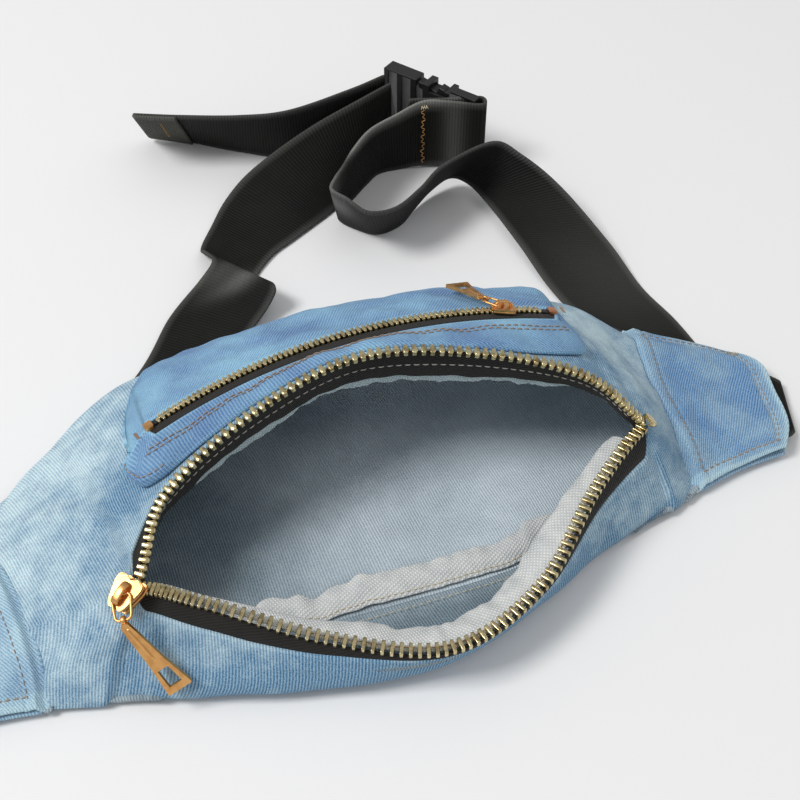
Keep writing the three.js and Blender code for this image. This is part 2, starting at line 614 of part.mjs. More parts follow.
// ---- buckle ------------------------------------------------------------------------------------
// Local frame: x from the male half's end to the female half's, y through its thickness, z up.
const buckleX = V(0.55, -0.835, 0).normalize();
const buckleFrame = frameFrom(V(108.3, 184.6, 19.4), buckleX, V(0, 0, 1));
const MALE = { start: -25, end: -7, half: 18.6, thick: 7 };
const FEMALE = { start: -3, end: 11.5, half: 18.6, thick: 8.4, wall: 1.4, bar: 22.9 };

const male = carve([
  block((MALE.start + MALE.end) / 2, 0, 0, MALE.end - MALE.start, MALE.thick, 2 * MALE.half),
  block(-2, 0, 0, 12, 3, 8),
], [
  block(MALE.start + 5, 0, 0, 4.4, 20, 35.2),
  block(MALE.start + 12.6, 0, 0, 4.4, 20, 35.2),
]);
add("buckle_male", placed(male, buckleFrame), "plastic");

function prong(side) {
  const outline = [
    [-6.6, 17.4], [3.4, 15.4], [4.8, 18.3], [7.8, 17.6], [9, 14.6], [8.6, 12.2], [4, 12.2], [-6.6, 14.2],
  ];
  const geometry = plate(outline, [], 4.6);
  geometry.rotateX(Math.PI / 2);
  if (side < 0) {
    geometry.rotateX(Math.PI);
  }
  return placed(geometry, buckleFrame);
}
add("buckle_prong_upper", prong(1), "plastic");
add("buckle_prong_lower", prong(-1), "plastic");

const railLength = FEMALE.bar + 1.1 - FEMALE.end + 0.4;
const railMiddle = FEMALE.bar + 1.1 - railLength / 2;
const windowHole = (side) => block(4.6, 0, side * 18, 8.6, 20, 5.6);
const female = carve([
  block((FEMALE.start + FEMALE.end) / 2, 0, 0, FEMALE.end - FEMALE.start, FEMALE.thick, 2 * FEMALE.half),
  block(railMiddle, 0, 18.1, railLength, 4.4, 1),
  block(railMiddle, 0, -18.1, railLength, 4.4, 1),
  block(FEMALE.bar, 0, 0, 2.2, 2.6, 2 * FEMALE.half),
], [
  block(FEMALE.start + 3.5, 0, 0, 18, FEMALE.thick - 2 * FEMALE.wall, 2 * (FEMALE.half - FEMALE.wall)),
  windowHole(1),
  windowHole(-1),
]);
add("buckle_female", placed(female, buckleFrame), "plastic");

export default group;
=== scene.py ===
"""The looks of the denim waist pack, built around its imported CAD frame.

Shapes are written in millimetres in the row frame and turned into metres as each mesh is made.
"""

import math

import bmesh
import bpy
import numpy as np
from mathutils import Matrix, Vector


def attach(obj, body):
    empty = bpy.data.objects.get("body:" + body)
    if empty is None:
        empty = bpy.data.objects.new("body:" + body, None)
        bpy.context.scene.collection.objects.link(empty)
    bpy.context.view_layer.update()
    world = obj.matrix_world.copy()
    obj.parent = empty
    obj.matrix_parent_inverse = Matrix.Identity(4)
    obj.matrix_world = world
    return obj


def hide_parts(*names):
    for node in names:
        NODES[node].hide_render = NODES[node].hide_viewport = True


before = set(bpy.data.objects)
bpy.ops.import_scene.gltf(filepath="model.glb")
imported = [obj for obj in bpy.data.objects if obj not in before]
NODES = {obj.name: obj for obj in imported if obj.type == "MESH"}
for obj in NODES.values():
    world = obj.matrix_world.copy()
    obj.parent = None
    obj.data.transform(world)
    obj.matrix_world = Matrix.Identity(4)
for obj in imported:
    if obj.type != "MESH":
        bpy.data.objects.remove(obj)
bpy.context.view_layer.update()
MM = 0.001
UP = (0, 0, 1)
SHIFT = np.array([0.0, 1.2, 0.0])  # from the drawing's origin to the row frame's
WAVE_COUNT = 9


# ---- numbers and curves ----
def vec(*xyz):
    return np.array(xyz, float)


def unit(v):
    v = np.asarray(v, float)
    return v / np.maximum(np.linalg.norm(v, axis=-1, keepdims=True), 1e-12)


def smooth(a, b, x):
    t = np.clip((np.asarray(x, float) - a) / (b - a), 0, 1)
    return t * t * (3 - 2 * t)


def mix(a, b, t):
    return a + (b - a) * t


def hermite(p0, p1, p2, p3, w):
    t0, t1 = 0.5 * (p2 - p0), 0.5 * (p3 - p1)
    return p1 + t0 * w + (3 * (p2 - p1) - 2 * t0 - t1) * w**2 + (2 * (p1 - p2) + t0 + t1) * w**3


def curve(points):
    """A Catmull-Rom line through points; its function takes an array of u from 0 to 1."""
    p = np.array(points, float)
    e = np.vstack([2 * p[0] - p[1], p, 2 * p[-1] - p[-2]])

    def at(u):
        x = np.clip(np.asarray(u, float), 0, 1) * (len(p) - 1)
        i = np.minimum(np.floor(x).astype(int), len(p) - 2)
        w = (x - i)[..., None]
        return hermite(e[i], e[i + 1], e[i + 2], e[i + 3], w)

    return at


def through(rows, v):
    """Catmull-Rom across a list of equal arrays of points; v is an array from 0 to 1 that broadcasts."""
    p = np.stack(rows)
    e = np.concatenate([[2 * p[0] - p[1]], p, [2 * p[-1] - p[-2]]])
    x = np.clip(np.asarray(v, float), 0, 1) * (len(rows) - 1)
    i = np.minimum(np.floor(x).astype(int), len(rows) - 2)
    k = np.arange(p.shape[1])
    w = (x - i)[..., None]
    return hermite(e[i, k], e[i + 1, k], e[i + 2, k], e[i + 3, k], w)


def waves(points, wavelength, seed):
    """A smooth random field of about unit size, the same each run."""
    rng = np.random.default_rng(seed)
    total = np.zeros(points.shape[:-1])
    for _ in range(WAVE_COUNT):
        direction = unit(rng.normal(size=3)) * rng.uniform(0.6, 1.5) * 2 * math.pi / wavelength
        total += np.cos(points @ direction + rng.uniform(0, 2 * math.pi))
    return total / math.sqrt(WAVE_COUNT / 2)


def blob(points, centre, radius, stretch=(1, 1, 1)):
    d = (points - np.array(centre, float)) / np.array(stretch, float)
    return np.exp(-(d**2).sum(-1) / radius**2)


def grid_normals(g):
    du = np.gradient(g, axis=0)
    dv = np.gradient(g, axis=1)
    return unit(np.cross(du, dv))


def arc_uv(g):
    """Cloth coordinates in millimetres: length along each direction of the grid."""
    su = np.linalg.norm(np.diff(g, axis=0), axis=-1)
    sv = np.linalg.norm(np.diff(g, axis=1), axis=-1)
    u = np.vstack([np.zeros((1, g.shape[1])), np.cumsum(su, axis=0)])
    u -= u[g.shape[0] // 2]
    u = mix(u, u[:, g.shape[1] // 2][:, None], 0.6)
    v = np.hstack([np.zeros((g.shape[0], 1)), np.cumsum(sv, axis=1)])
    return np.stack([u, v], axis=-1)


# ---- meshes ----
def raw_mesh(name, verts, faces, uv=None, attrs=None):
    me = bpy.data.meshes.new(name)
    verts = (np.asarray(verts, float) + SHIFT) * MM
    faces = np.asarray(faces, np.int32)
    sides = faces.shape[1]
    me.vertices.add(len(verts))
    me.vertices.foreach_set("co", verts.astype(np.float32).ravel())
    me.loops.add(faces.size)
    me.loops.foreach_set("vertex_index", faces.ravel())
    me.polygons.add(len(faces))
    me.polygons.foreach_set("loop_start", np.arange(len(faces), dtype=np.int32) * sides)
    me.polygons.foreach_set("use_smooth", np.ones(len(faces), bool))
    if uv is not None:
        layer = me.uv_layers.new(name="cloth")
        layer.data.foreach_set("uv", np.asarray(uv, np.float32)[faces.ravel()].ravel())
    for key, values in (attrs or {}).items():
        me.attributes.new(key, "FLOAT", "POINT").data.foreach_set("value", np.asarray(values, np.float32).ravel())
    me.update(calc_edges=True)
    me.validate()
    return me


def loose_mesh(name, verts, faces):
    """A smooth mesh from faces of any size, turned so that every part faces outward."""
    me = bpy.data.meshes.new(name)
    me.from_pydata(((verts + SHIFT) * MM).tolist(), [], faces)
    bm = bmesh.new()
    bm.from_mesh(me)
    bmesh.ops.recalc_face_normals(bm, faces=bm.faces)
    bm.to_mesh(me)
    bm.free()
    me.polygons.foreach_set("use_smooth", np.ones(len(me.polygons), bool))
    me.update()
    return me


def place(name, me, materials, body="bag", replaces=(), slot=None):
    obj = bpy.data.objects.new(name, me)
    bpy.context.scene.collection.objects.link(obj)
    for m in materials if isinstance(materials, (list, tuple)) else [materials]:
        me.materials.append(m)
    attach(obj, body)
    if replaces:
        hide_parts(*replaces)
    return obj


def grid_faces(nu, nv):
    i = np.arange(nu * nv).reshape(nu, nv)
    return np.stack([i[:-1, :-1], i[1:, :-1], i[1:, 1:], i[:-1, 1:]], axis=-1).reshape(-1, 4)


def flip_if_inside_out(verts, faces):
    a, b, c, d = (verts[faces[:, k]] for k in range(4))
    volume = (np.einsum("ij,ij->i", a, np.cross(b, c)) + np.einsum("ij,ij->i", a, np.cross(c, d))).sum()
    return faces if volume > 0 else faces[:, ::-1]


def shell(grid, thickness, uv, wash_and_painted_light, rim, centred, facing):
    """A closed sheet with a rounded edge all round, from a grid of points on its outer face.

    facing is a direction the outer face looks along, where the grid's own order doesn't settle it.
    """
    nu, nv = grid.shape[:2]
    n = grid_normals(grid)
    if facing is not None and (n @ np.array(facing, float)).sum() < 0:
        n = -n
    outer = grid + n * thickness / 2 if centred else grid
    middle = outer - n * thickness / 2
    inner = outer - n * thickness
    uv = arc_uv(grid) if uv is None else uv
    i = np.arange(nu * nv).reshape(nu, nv)
    loop = np.concatenate([i[:-1, 0], i[-1, :-1], i[:0:-1, -1], i[0, :0:-1]])
    du = unit(np.gradient(grid, axis=0))
    dv = unit(np.gradient(grid, axis=1))
    away = np.zeros_like(grid)
    away[0] -= du[0]
    away[-1] += du[-1]
    away[:, 0] -= dv[:, 0]
    away[:, -1] += dv[:, -1]
    flat = lambda a: a.reshape(nu * nv, -1)
    b = unit(flat(away)[loop])
    nn = flat(n)[loop]
    b = unit(b - nn * (b * nn).sum(-1, keepdims=True))
    verts = [flat(outer)]
    rings = [loop]
    count = nu * nv
    for k in range(1, rim + 1):
        a = math.pi * k / (rim + 1)
        verts.append(flat(middle)[loop] + (nn * math.cos(a) + b * math.sin(a)) * thickness / 2)
        rings.append(np.arange(len(loop)) + count)
        count += len(loop)
    verts.append(flat(inner))
    rings.append(loop + count)
    faces = [grid_faces(nu, nv), grid_faces(nu, nv)[:, ::-1] + count]
    for r0, r1 in zip(rings, rings[1:]):
        faces.append(np.stack([r0, r1, np.roll(r1, -1), np.roll(r0, -1)], axis=-1))
    verts, faces = np.vstack(verts), np.vstack(faces)
    spread = lambda a: np.concatenate([flat(a)] + [flat(a)[loop]] * rim + [flat(a)])
    side = np.concatenate([np.zeros(nu * nv), np.full(rim * len(loop), 0.5), np.ones(nu * nv)])
    every = {} if wash_and_painted_light is None else {"wash_and_painted_light": spread(wash_and_painted_light)[:, 0]}
    every["inside"] = side
    return verts, flip_if_inside_out(verts, faces), spread(uv), every


def sheet_object(name, grid, thickness, material, uv=None, wash_and_painted_light=None, rim=3, centred=False, facing=None, **where):
    verts, faces, uvs, every = shell(grid, thickness, uv, wash_and_painted_light, rim, centred, facing)
    return place(name, raw_mesh(name, verts, faces, uvs, every), material, **where)


def lattice(nu, nv, u0=0.0, u1=1.0):
    return np.meshgrid(np.linspace(u0, u1, nu), np.linspace(0.0, 1.0, nv), indexing="ij")


# ---- node materials ----
class Wire:
    """A node's output, which takes +, - and * with another output or a number."""

    def __init__(self, graph, socket):
        self.graph, self.socket = graph, socket

    def __add__(self, other):
        return self.graph.math("ADD", self, other)

    def __sub__(self, other):
        return self.graph.math("SUBTRACT", self, other)

    def __mul__(self, other):
        return self.graph.math("MULTIPLY", self, other)


class Graph:
    """A short way to write a material's nodes."""

    def __init__(self, name):
        self.material = bpy.data.materials.new(name)
        self.material.use_nodes = True
        self.tree = self.material.node_tree
        self.shader = self.tree.nodes["Principled BSDF"]

    def add(self, kind, **settings):
        node = self.tree.nodes.new("ShaderNode" + kind)
        for key, value in settings.items():
            setattr(node, key, value)
        return node

    def put(self, target, value):
        if isinstance(value, Wire):
            self.tree.links.new(value.socket, target)
        else:
            target.default_value = (*value, 1) if isinstance(value, tuple) else value

    def math(self, operation, a, b, clamp=False):
        node = self.add("Math", operation=operation, use_clamp=clamp)
        self.put(node.inputs[0], a)
        self.put(node.inputs[1], b)
        return Wire(self, node.outputs[0])

    def share(self, a, b):
        """The sum of a and b, kept between 0 and 1."""
        return self.math("ADD", a, b, clamp=True)

    def noise(self, vector, scale, detail=3.0, roughness=0.5):
        node = self.add("TexNoise")
        self.put(node.inputs["Vector"], vector)
        node.inputs["Scale"].default_value = scale
        node.inputs["Detail"].default_value = detail
        node.inputs["Roughness"].default_value = roughness
        return Wire(self, node.outputs["Fac"])

    def steps(self, value, low, high):
        """Black below low and white above high."""
        node = self.add("ValToRGB")
        self.put(node.inputs[0], value)
        for element, position, grey in zip(node.color_ramp.elements, (low, high), (0, 1)):
            element.position = position
            element.color = (grey, grey, grey, 1)
        return Wire(self, node.outputs[0])

    def blend(self, factor, a, b, kind="MIX"):
        node = self.add("Mix", data_type="RGBA", blend_type=kind)
        for socket, value in zip((0, 6, 7), (factor, a, b)):
            self.put(node.inputs[socket], value)
        return Wire(self, node.outputs[2])

    def wash_and_painted_light(self):
        return Wire(self, self.add("Attribute", attribute_name="wash_and_painted_light").outputs["Fac"])

    def cloth(self):
        """Millimetres along and across the cloth."""
        return Wire(self, self.add("UVMap", uv_map="cloth").outputs[0])

    def position(self):
        return Wire(self, self.add("TexCoord").outputs["Object"])

    def stripes(self, vector, angle, pitch, wobble=None):
        """A 0 to 1 wave across the cloth: its lines stand at right angles to angle."""
        split = self.add("SeparateXYZ")
        self.put(split.inputs[0], vector)
        x, y = Wire(self, split.outputs[0]), Wire(self, split.outputs[1])
        phase = x * (math.cos(angle) * 2 * math.pi / pitch) + y * (math.sin(angle) * 2 * math.pi / pitch)
        if wobble is not None:
            phase = phase + wobble
        return self.math("SINE", phase, 0.0) * 0.5 + 0.5

    def bump(self, height, distance, strength):
        node = self.add("Bump")
        node.inputs["Strength"].default_value = strength
        node.inputs["Distance"].default_value = distance
        self.put(node.inputs["Height"], height)
        self.tree.links.new(node.outputs[0], self.shader.inputs["Normal"])

    def set(self, **values):
        for key, value in values.items():
            self.put(self.shader.inputs[key.replace("_", " ")], value)


def srgb(r, g, b):
    return tuple((c / 12.92 if c <= 0.04045 else ((c + 0.055) / 1.055) ** 2.4) for c in (r / 255, g / 255, b / 255))


def denim(name, deep, pale, contrast, angle=3.15, pitch=1.05, mottled=1.0):
    """Washed twill: deep and pale are its two tones, mixed by the piece's wash attribute, which holds the cloth's wash
    and, on the bag's body and inside, painted shade.
    """
    g = Graph(name)
    cloth, position = g.cloth(), g.position()
    slub = g.noise(cloth, 0.95, 3.0, 0.7)
    twill = g.stripes(cloth, angle, pitch, g.noise(cloth, 0.2) * 2.6)
    cross = g.stripes(cloth, angle - 1.25, pitch * 0.62)
    grain = g.noise(cloth, 1.7, 3.0, 0.75)
    mottle = g.noise(position, 110.0, 5.0, 0.66)
    cloud = g.noise(position, 30.0, 3.0, 0.55)
    tone = g.share(g.wash_and_painted_light() + (mottle - 0.5) * mottled, (cloud - 0.5) * (0.6 * mottled))
    base = g.blend(tone, deep, pale)
    ribs = (twill - 0.5) * contrast * (slub * 1.5)
    yarn = g.share(ribs + (grain - 0.5) * (contrast * 2.6), 0.5)
    dark = g.blend(1.0, base, (0.5, 0.6, 0.7), "MULTIPLY")
    light = g.blend(0.4, base, (0.76, 0.86, 0.9))
    g.bump(twill + (cross * 0.45 + grain * 0.9), 0.0002, 0.9)
    g.set(Base_Color=g.blend(yarn, dark, light), Roughness=0.95, Sheen_Weight=0.06, Sheen_Roughness=0.5,
          Specular_IOR_Level=0.12)
    return g.material


def webbing_material(name, dark, light, pitch):
    """Ribbed webbing, greyed where the piece's wash attribute is high: worn selvedges, and painted sheen highlights on
    the right and left straps.
    """
    g = Graph(name)
    cloth = g.cloth()
    ribs = g.stripes(cloth, 0.0, pitch, g.noise(cloth, 0.25, 2.0) * 1.3)
    fine = g.stripes(cloth, math.pi / 2, 0.8)
    grain = g.noise(cloth, 1.6, 3.0, 0.7)
    cloud = g.noise(cloth, 0.05, 3.0, 0.6)
    tone = g.share(ribs * 0.42 + grain * 0.35, (cloud - 0.4) * 0.7)
    # grey from the wash attribute: selvedge wear plus painted sheen highlights
    worn = g.math("MULTIPLY", g.wash_and_painted_light(), grain + 0.45, clamp=True)
    g.bump(ribs + (fine * 0.3 + grain * 0.4), 0.0003, 0.8)
    g.set(Base_Color=g.blend(worn, g.blend(tone, dark, light), srgb(128, 128, 124)), Roughness=0.75,
          Specular_IOR_Level=0.18)
    return g.material


def tape_material(name, dark, light, angle, pitch):
    g = Graph(name)
    cloth = g.cloth()
    ribs = g.stripes(cloth, angle, pitch)
    grain = g.noise(cloth, 2.4, 3.0, 0.7)
    tone = g.share(ribs * 0.35 + grain * 0.5, (g.noise(cloth, 0.1, 2.0) - 0.5) * 0.5)
    g.bump(ribs + grain * 0.6, 0.0002, 0.8)
    g.set(Base_Color=g.blend(tone, dark, light), Roughness=0.8, Sheen_Weight=0.1, Specular_IOR_Level=0.3)
    return g.material


def gauze_material(name, dark, light):
    """White binding ribbon: an open diagonal weave with a sheen."""
    g = Graph(name)
    cloth = g.cloth()
    weave = g.stripes(cloth, 0.5, 1.05) * g.stripes(cloth, 2.1, 1.2)
    grain = g.noise(cloth, 1.4, 3.0, 0.6)
    tone = g.share(weave * 0.75 + grain * 0.4, (g.noise(cloth, 0.16, 2.0) - 0.45) * 0.8)
    g.bump(weave + grain * 0.3, 0.0003, 0.9)
    g.set(Base_Color=g.blend(tone, dark, light), Roughness=0.6, Sheen_Weight=0.35, Sheen_Roughness=0.35,
          Specular_IOR_Level=0.4)
    return g.material


def metal_material(name, colour, dark, roughness):
    g = Graph(name)
    position = g.position()
    patina = g.noise(position, 320.0, 4.0, 0.6)
    g.bump(g.noise(position, 4800.0, 2.0), 0.00001, 0.25)
    g.set(Base_Color=g.blend(g.steps(patina, 0.3, 0.55), dark, colour), Roughness=patina * 0.14 + (roughness - 0.07),
          Metallic=1.0)
    return g.material


def plastic_material(name, dark, light):
    g = Graph(name)
    position = g.position()
    worn = g.noise(position, 180.0, 4.0, 0.6)
    g.bump(g.noise(position, 2600.0, 3.0, 0.6), 0.00005, 0.5)
    g.set(Base_Color=g.blend(worn, dark, light), Roughness=worn * 0.25 + 0.3, Specular_IOR_Level=0.5)
    return g.material


def thread_material(name, dark, light):
    g = Graph(name)
    position = g.position()
    twist = g.noise(position, 2400.0, 2.0, 0.6)
    tone = g.share(twist * 0.6, g.noise(position, 120.0) * 0.5)
    g.bump(twist, 0.0001, 0.7)
    g.set(Base_Color=g.blend(tone, dark, light), Roughness=0.7, Sheen_Weight=0.2)
    return g.material


DENIM = denim("denim", srgb(68, 136, 176), srgb(222, 244, 247), 1.0, mottled=2.0)
DENIM_POCKET = denim("denim_pocket", srgb(30, 118, 184), srgb(150, 216, 244), 0.6, angle=2.62)
DENIM_WING = denim("denim_wing", srgb(54, 134, 192), srgb(196, 230, 240), 0.8, angle=2.62)
# its deep tone is dark so that the painted shade on the inside of the bag can go dark
LINING = denim("denim_inside", srgb(82, 108, 122), srgb(240, 246, 248), 0.6, angle=0.12, pitch=1.0, mottled=0.5)
WEBBING = webbing_material("webbing", srgb(8, 8, 7), srgb(36, 36, 33), 1.35)
WEBBING_HEM = webbing_material("webbing_hem", srgb(44, 45, 40), srgb(84, 86, 78), 1.2)
TAPE = tape_material("zip_tape", srgb(8, 8, 8), srgb(44, 42, 40), 1.2, 0.9)
RIBBON = gauze_material("ribbon", srgb(176, 182, 184), srgb(250, 250, 246))
FRAY = gauze_material("frayed_edge", srgb(140, 166, 176), srgb(214, 228, 230))
BRASS = metal_material("brass_teeth", srgb(222, 208, 164), srgb(150, 128, 84), 0.26)
GOLD = metal_material("gold", srgb(228, 174, 110), srgb(204, 146, 84), 0.36)
RED_GOLD = metal_material("red_gold", srgb(206, 140, 96), srgb(150, 88, 58), 0.3)
PLASTIC = plastic_material("buckle_plastic", srgb(12, 13, 12), srgb(32, 33, 32))
THREAD_TAN = thread_material("thread_tan", srgb(110, 94, 84), srgb(176, 152, 130))
THREAD_ORANGE = thread_material("thread_orange", srgb(150, 96, 40), srgb(214, 158, 84))
THREAD_GREY = thread_material("thread_grey", srgb(130, 128, 124), srgb(196, 194, 188))
THREAD_CREAM = thread_material("thread_cream", srgb(190, 170, 130), srgb(232, 220, 190))


# ---- camera ----
TARGET = vec(35, 41, 0) + SHIFT
ELEVATION, AZIMUTH, DISTANCE = math.radians(48), math.radians(-21.7), 480.0
back = vec(math.sin(AZIMUTH) * math.cos(ELEVATION), -math.cos(AZIMUTH) * math.cos(ELEVATION), math.sin(ELEVATION))
camera = bpy.data.objects.new("camera", bpy.data.cameras.new("camera"))
bpy.context.scene.collection.objects.link(camera)
camera.location = Vector((TARGET + back * DISTANCE) * MM)
camera.rotation_mode = "QUATERNION"
camera.rotation_quaternion = Vector(-back).to_track_quat("-Z", "Y")
camera.data.sensor_width = 36
camera.data.lens = 55.4
camera.data.clip_start = 0.01
camera.data.clip_end = 20
bpy.context.scene.camera = camera


# ---- thread ----
def sample(line, step):
    """Points every step millimetres along a dense line, with its direction there."""
    seg = np.linalg.norm(np.diff(line, axis=0), axis=-1)
    run = np.concatenate([[0], np.cumsum(seg)])
    at = np.arange(0, run[-1], step)
    points = np.stack([np.interp(at, run, line[:, k]) for k in range(3)], axis=-1)
    ahead = np.stack([np.interp(at + 0.3, run, line[:, k]) for k in range(3)], axis=-1)
    behind = np.stack([np.interp(at - 0.3, run, line[:, k]) for k in range(3)], axis=-1)
    return points, unit(ahead - behind), at, run


def stitches(name, line, normals, material, pitch=2.6, length=2.0, radius=0.28, zigzag=0.0, lift=0.12, sideways=0.0,
             **where):
    """Separate thread stitches along a line on cloth.

    zigzag steps each end sideways; sideways lays the stitches across the line instead, by that half length.
    """
    points, along, at, run = sample(line, pitch)
    n = unit(np.stack([np.interp(at, run, normals[:, k]) for k in range(3)], axis=-1))
    across = unit(np.cross(n, along))
    rings, sides = 7, 6
    t = np.linspace(-1, 1, rings)
    swell = np.sqrt(np.clip(1 - np.abs(t) ** 3.0, 0.02, 1))
    verts = []
    sign = np.where(np.arange(len(points)) % 2 == 0, 1.0, -1.0)[:, None]
    for k in range(rings):
        middle = points + along * (t[k] * length / 2) + across * (sign * zigzag * t[k] + sideways * t[k])
        middle = middle + n * (lift + radius * (0.7 - 1.1 * t[k] ** 4))
        for j in range(sides):
            a = 2 * math.pi * j / sides
            verts.append(middle + (across * math.cos(a) + n * math.sin(a)) * radius * swell[k])
    verts = np.stack(verts, axis=1).reshape(-1, 3)
    block = rings * sides
    one = []
    for k in range(rings - 1):
        here, ahead = k * sides, (k + 1) * sides
        for j in range(sides):
            turned = (j + 1) % sides
            one.append((here + j, here + turned, ahead + turned, ahead + j))
    for k in (0, rings - 1):
        b = k * sides
        quads = [(b, b + 1, b + 2, b + 3), (b, b + 3, b + 4, b + 5)]
        one += [q[::-1] for q in quads] if k == 0 else quads
    one = np.array(one)
    faces = (one[None] + (np.arange(len(points)) * block)[:, None, None]).reshape(-1, 4)
    first = flip_if_inside_out(verts[:block] - verts[:block].mean(0), one)
    if (first[0] != one[0]).any():
        faces = faces[:, ::-1]
    return place(name, raw_mesh(name, verts, faces), material, slot="thread", **where)


def grid_line(grid, i, j):
    """Points of a grid at fractional indices, as arrays."""
    i, j = np.broadcast_arrays(np.asarray(i, float), np.asarray(j, float))
    i0 = np.clip(np.floor(i).astype(int), 0, grid.shape[0] - 2)
    j0 = np.clip(np.floor(j).astype(int), 0, grid.shape[1] - 2)
    a, b = (i - i0)[:, None], (j - j0)[:, None]
    return mix(mix(grid[i0, j0], grid[i0 + 1, j0], a), mix(grid[i0, j0 + 1], grid[i0 + 1, j0 + 1], a), b)


# ---- belt ----
WEB = 1.5  # the webbing's thickness


def upright(points):
    return [[x, y, 2.3] for x, y in points], [[x, y, 36.3] for x, y in points]


SEWN_FOOT, SEWN_TOP = upright([
    (99, 173.6), (110, 169.1), (121.5, 162.3), (124.8, 163.2), (125.0, 166.6), (121.2, 168.6),
    (116, 169.8), (109, 171.9), (97.5, 176.1), (94, 177),
])
right_inner = curve([
    [160, -1, 5.3], [169, -3, 5.2], [175, -8, 3.4], [169, -0.5, 1.2], [152, 20, 0.95],
    [136, 38, 0.95], [122, 55, 0.95], [117.5, 75, 1.5], [116, 103, 4], [114, 131, 5.5],
    [110.5, 147, 7], [104, 154, 7], [93, 151.5, 4], [82.5, 145, 1.6], [73, 138, 0.9],
    [62, 136.5, 0.9], [54, 144, 0.9], [50, 152, 0.9], [54, 159, 0.9], [61, 164, 0.9],
    [69, 170.5, 0.9], [78, 176.5, 0.9], [88, 176.5, 0.9], *SEWN_FOOT,
])
right_outer = curve([
    [148, -33, 5.3], [159, -34, 5.2], [166, -31.5, 3.2], [163, -25, 0.95], [158, -8, 0.95],
    [157, 18, 0.95], [156, 40, 0.95], [152.5, 62, 1.5], [150.5, 88, 6], [140.5, 117, 18],
    [128, 132, 28], [116.5, 137.5, 34], [92, 133, 32], [78, 125, 29.5], [64, 118, 28.5],
    [52, 119, 29], [46, 129, 30.4], [42, 136.5, 31], [46, 143, 31], [51.5, 148.5, 31.5],
    [60, 157.5, 32.5], [71, 166.5, 33.3], [85, 171.5, 34], *SEWN_TOP,
])
left_outer = curve([
    [-160, -1, 5.3], [-169, -3, 5.2], [-175, -8, 3.4], [-169, -0.5, 1.2], [-150, 19, 0.95],
    [-120, 36, 0.95], [-90, 60, 0.95], [-56, 91, 1.2], [-37, 115.5, 2.4], [-20, 129, 6],
    [-12.5, 134, 10.5], [-13.5, 143, 8.4], [-13, 154, 1.8], [-5, 166, 1.6], [5, 178, 4],
    [16, 179.5, 14], [33, 183.5, 21], [53.7, 188, 27], [75, 190.5, 32.5], [91, 194.5, 34.6],
])
left_inner = curve([
    [-148, -33, 5.3], [-159, -34, 5.2], [-166, -31.5, 3.2], [-162, -25, 0.95], [-138, -9, 0.95],
    [-102, 8, 0.95], [-70, 32.5, 0.95], [-33.5, 66.5, 1.2], [-12, 93, 2.4], [1, 102.5, 8],
    [6, 107, 12.5], [4.5, 115, 9.5], [1, 125, 1.6], [13, 138.5, 1.2], [26, 146, 1],
    [38, 152.5, 1], [50, 159.5, 1], [62, 169.5, 1], [75, 181, 1], [91, 194.5, 1],
])
tail_top = curve([
    [90.5, 201, 35], [72, 196, 35], [42, 193, 33.5], [20.5, 201, 31], [-4, 212, 30.3], [-22.5, 220.5, 30.5],
])
tail_foot = curve([
    [90.5, 201, 1.2], [74, 200.5, 1.2], [46, 202.5, 1], [23, 216.5, 1], [1.5, 234, 1], [-14.5, 240.5, 4],
])


def strap(name, one, two, steps, wear_and_sheen=None, material=WEBBING, **where):
    """A webbing ribbon between two edges, its selvedges rounded."""
    u, v = lattice(steps, 13)
    grid = mix(one(u), two(u), v[..., None])
    centre = mix(one(u[:, 0]), two(u[:, 0]), 0.5)
    run = np.concatenate([[0], np.cumsum(np.linalg.norm(np.diff(centre, axis=0), axis=-1))])
    width = np.linalg.norm(grid[:, -1] - grid[:, 0], axis=-1)
    uv = np.stack([np.repeat(run[:, None], 13, axis=1), v * width[:, None]], axis=-1)
    selvedge = smooth(0.9, 1.0, np.abs(2 * v - 1))
    # selvedges greyed as wear; the added field adds painted sheen highlights, and on the right strap a fuzzy edge
    wash_and_painted_light = selvedge * 0.25 + (0 if wear_and_sheen is None else wear_and_sheen(u, v, grid))
    obj = sheet_object(name, grid, WEB, material, uv, wash_and_painted_light, rim=5, centred=True, **where)
    path = (centre[:: max(1, steps // 90)] + SHIFT) * MM
    if not np.allclose(path[-1], (centre[-1] + SHIFT) * MM):
        path = np.vstack([path, (centre[-1] + SHIFT) * MM])
    return obj, path, run[-1] * MM


def right_fuzz_and_sheen(u, v, p):
    """Painted highlights: a grey sheen on the turn's outer face, a narrow upright sheen beside the sewn end, and a
    broad patch drawn lighter where the strap faces the key light; also the fuzzy light top edge behind the turn.
    """
    # painted highlight: sheen on the turn's outer face
    turn_sheen = blob(p, (45, 139, 22), 9, (0.8, 1, 1.3)) * 0.9
    edge = smooth(0.86, 1, v) * smooth(0.6, 0.63, u) * (1 - smooth(0.72, 0.76, u)) * 0.9
    # painted highlight: a narrow upright sheen beside the sewn end
    sheen = blob(p, (112, 168, 20), 5, (1, 1, 9)) * 0.35
    # painted highlight: a broad patch drawn lighter where the strap faces the key light
    worn = blob(p, (148, 72, 8), 36) * 0.14
    return turn_sheen + edge + sheen + worn


def left_crest_sheen(_u, _v, p):
    """Painted highlight: a grey sheen on the crest of the fold beside the bag."""
    crest_sheen = blob(p, (-5, 119, 11), 8, (2, 0.5, 1)) * 0.5
    # a second painted highlight just below the crest
    return crest_sheen + blob(p, (-5, 128, 6), 8, (2.2, 0.6, 1)) * 0.3


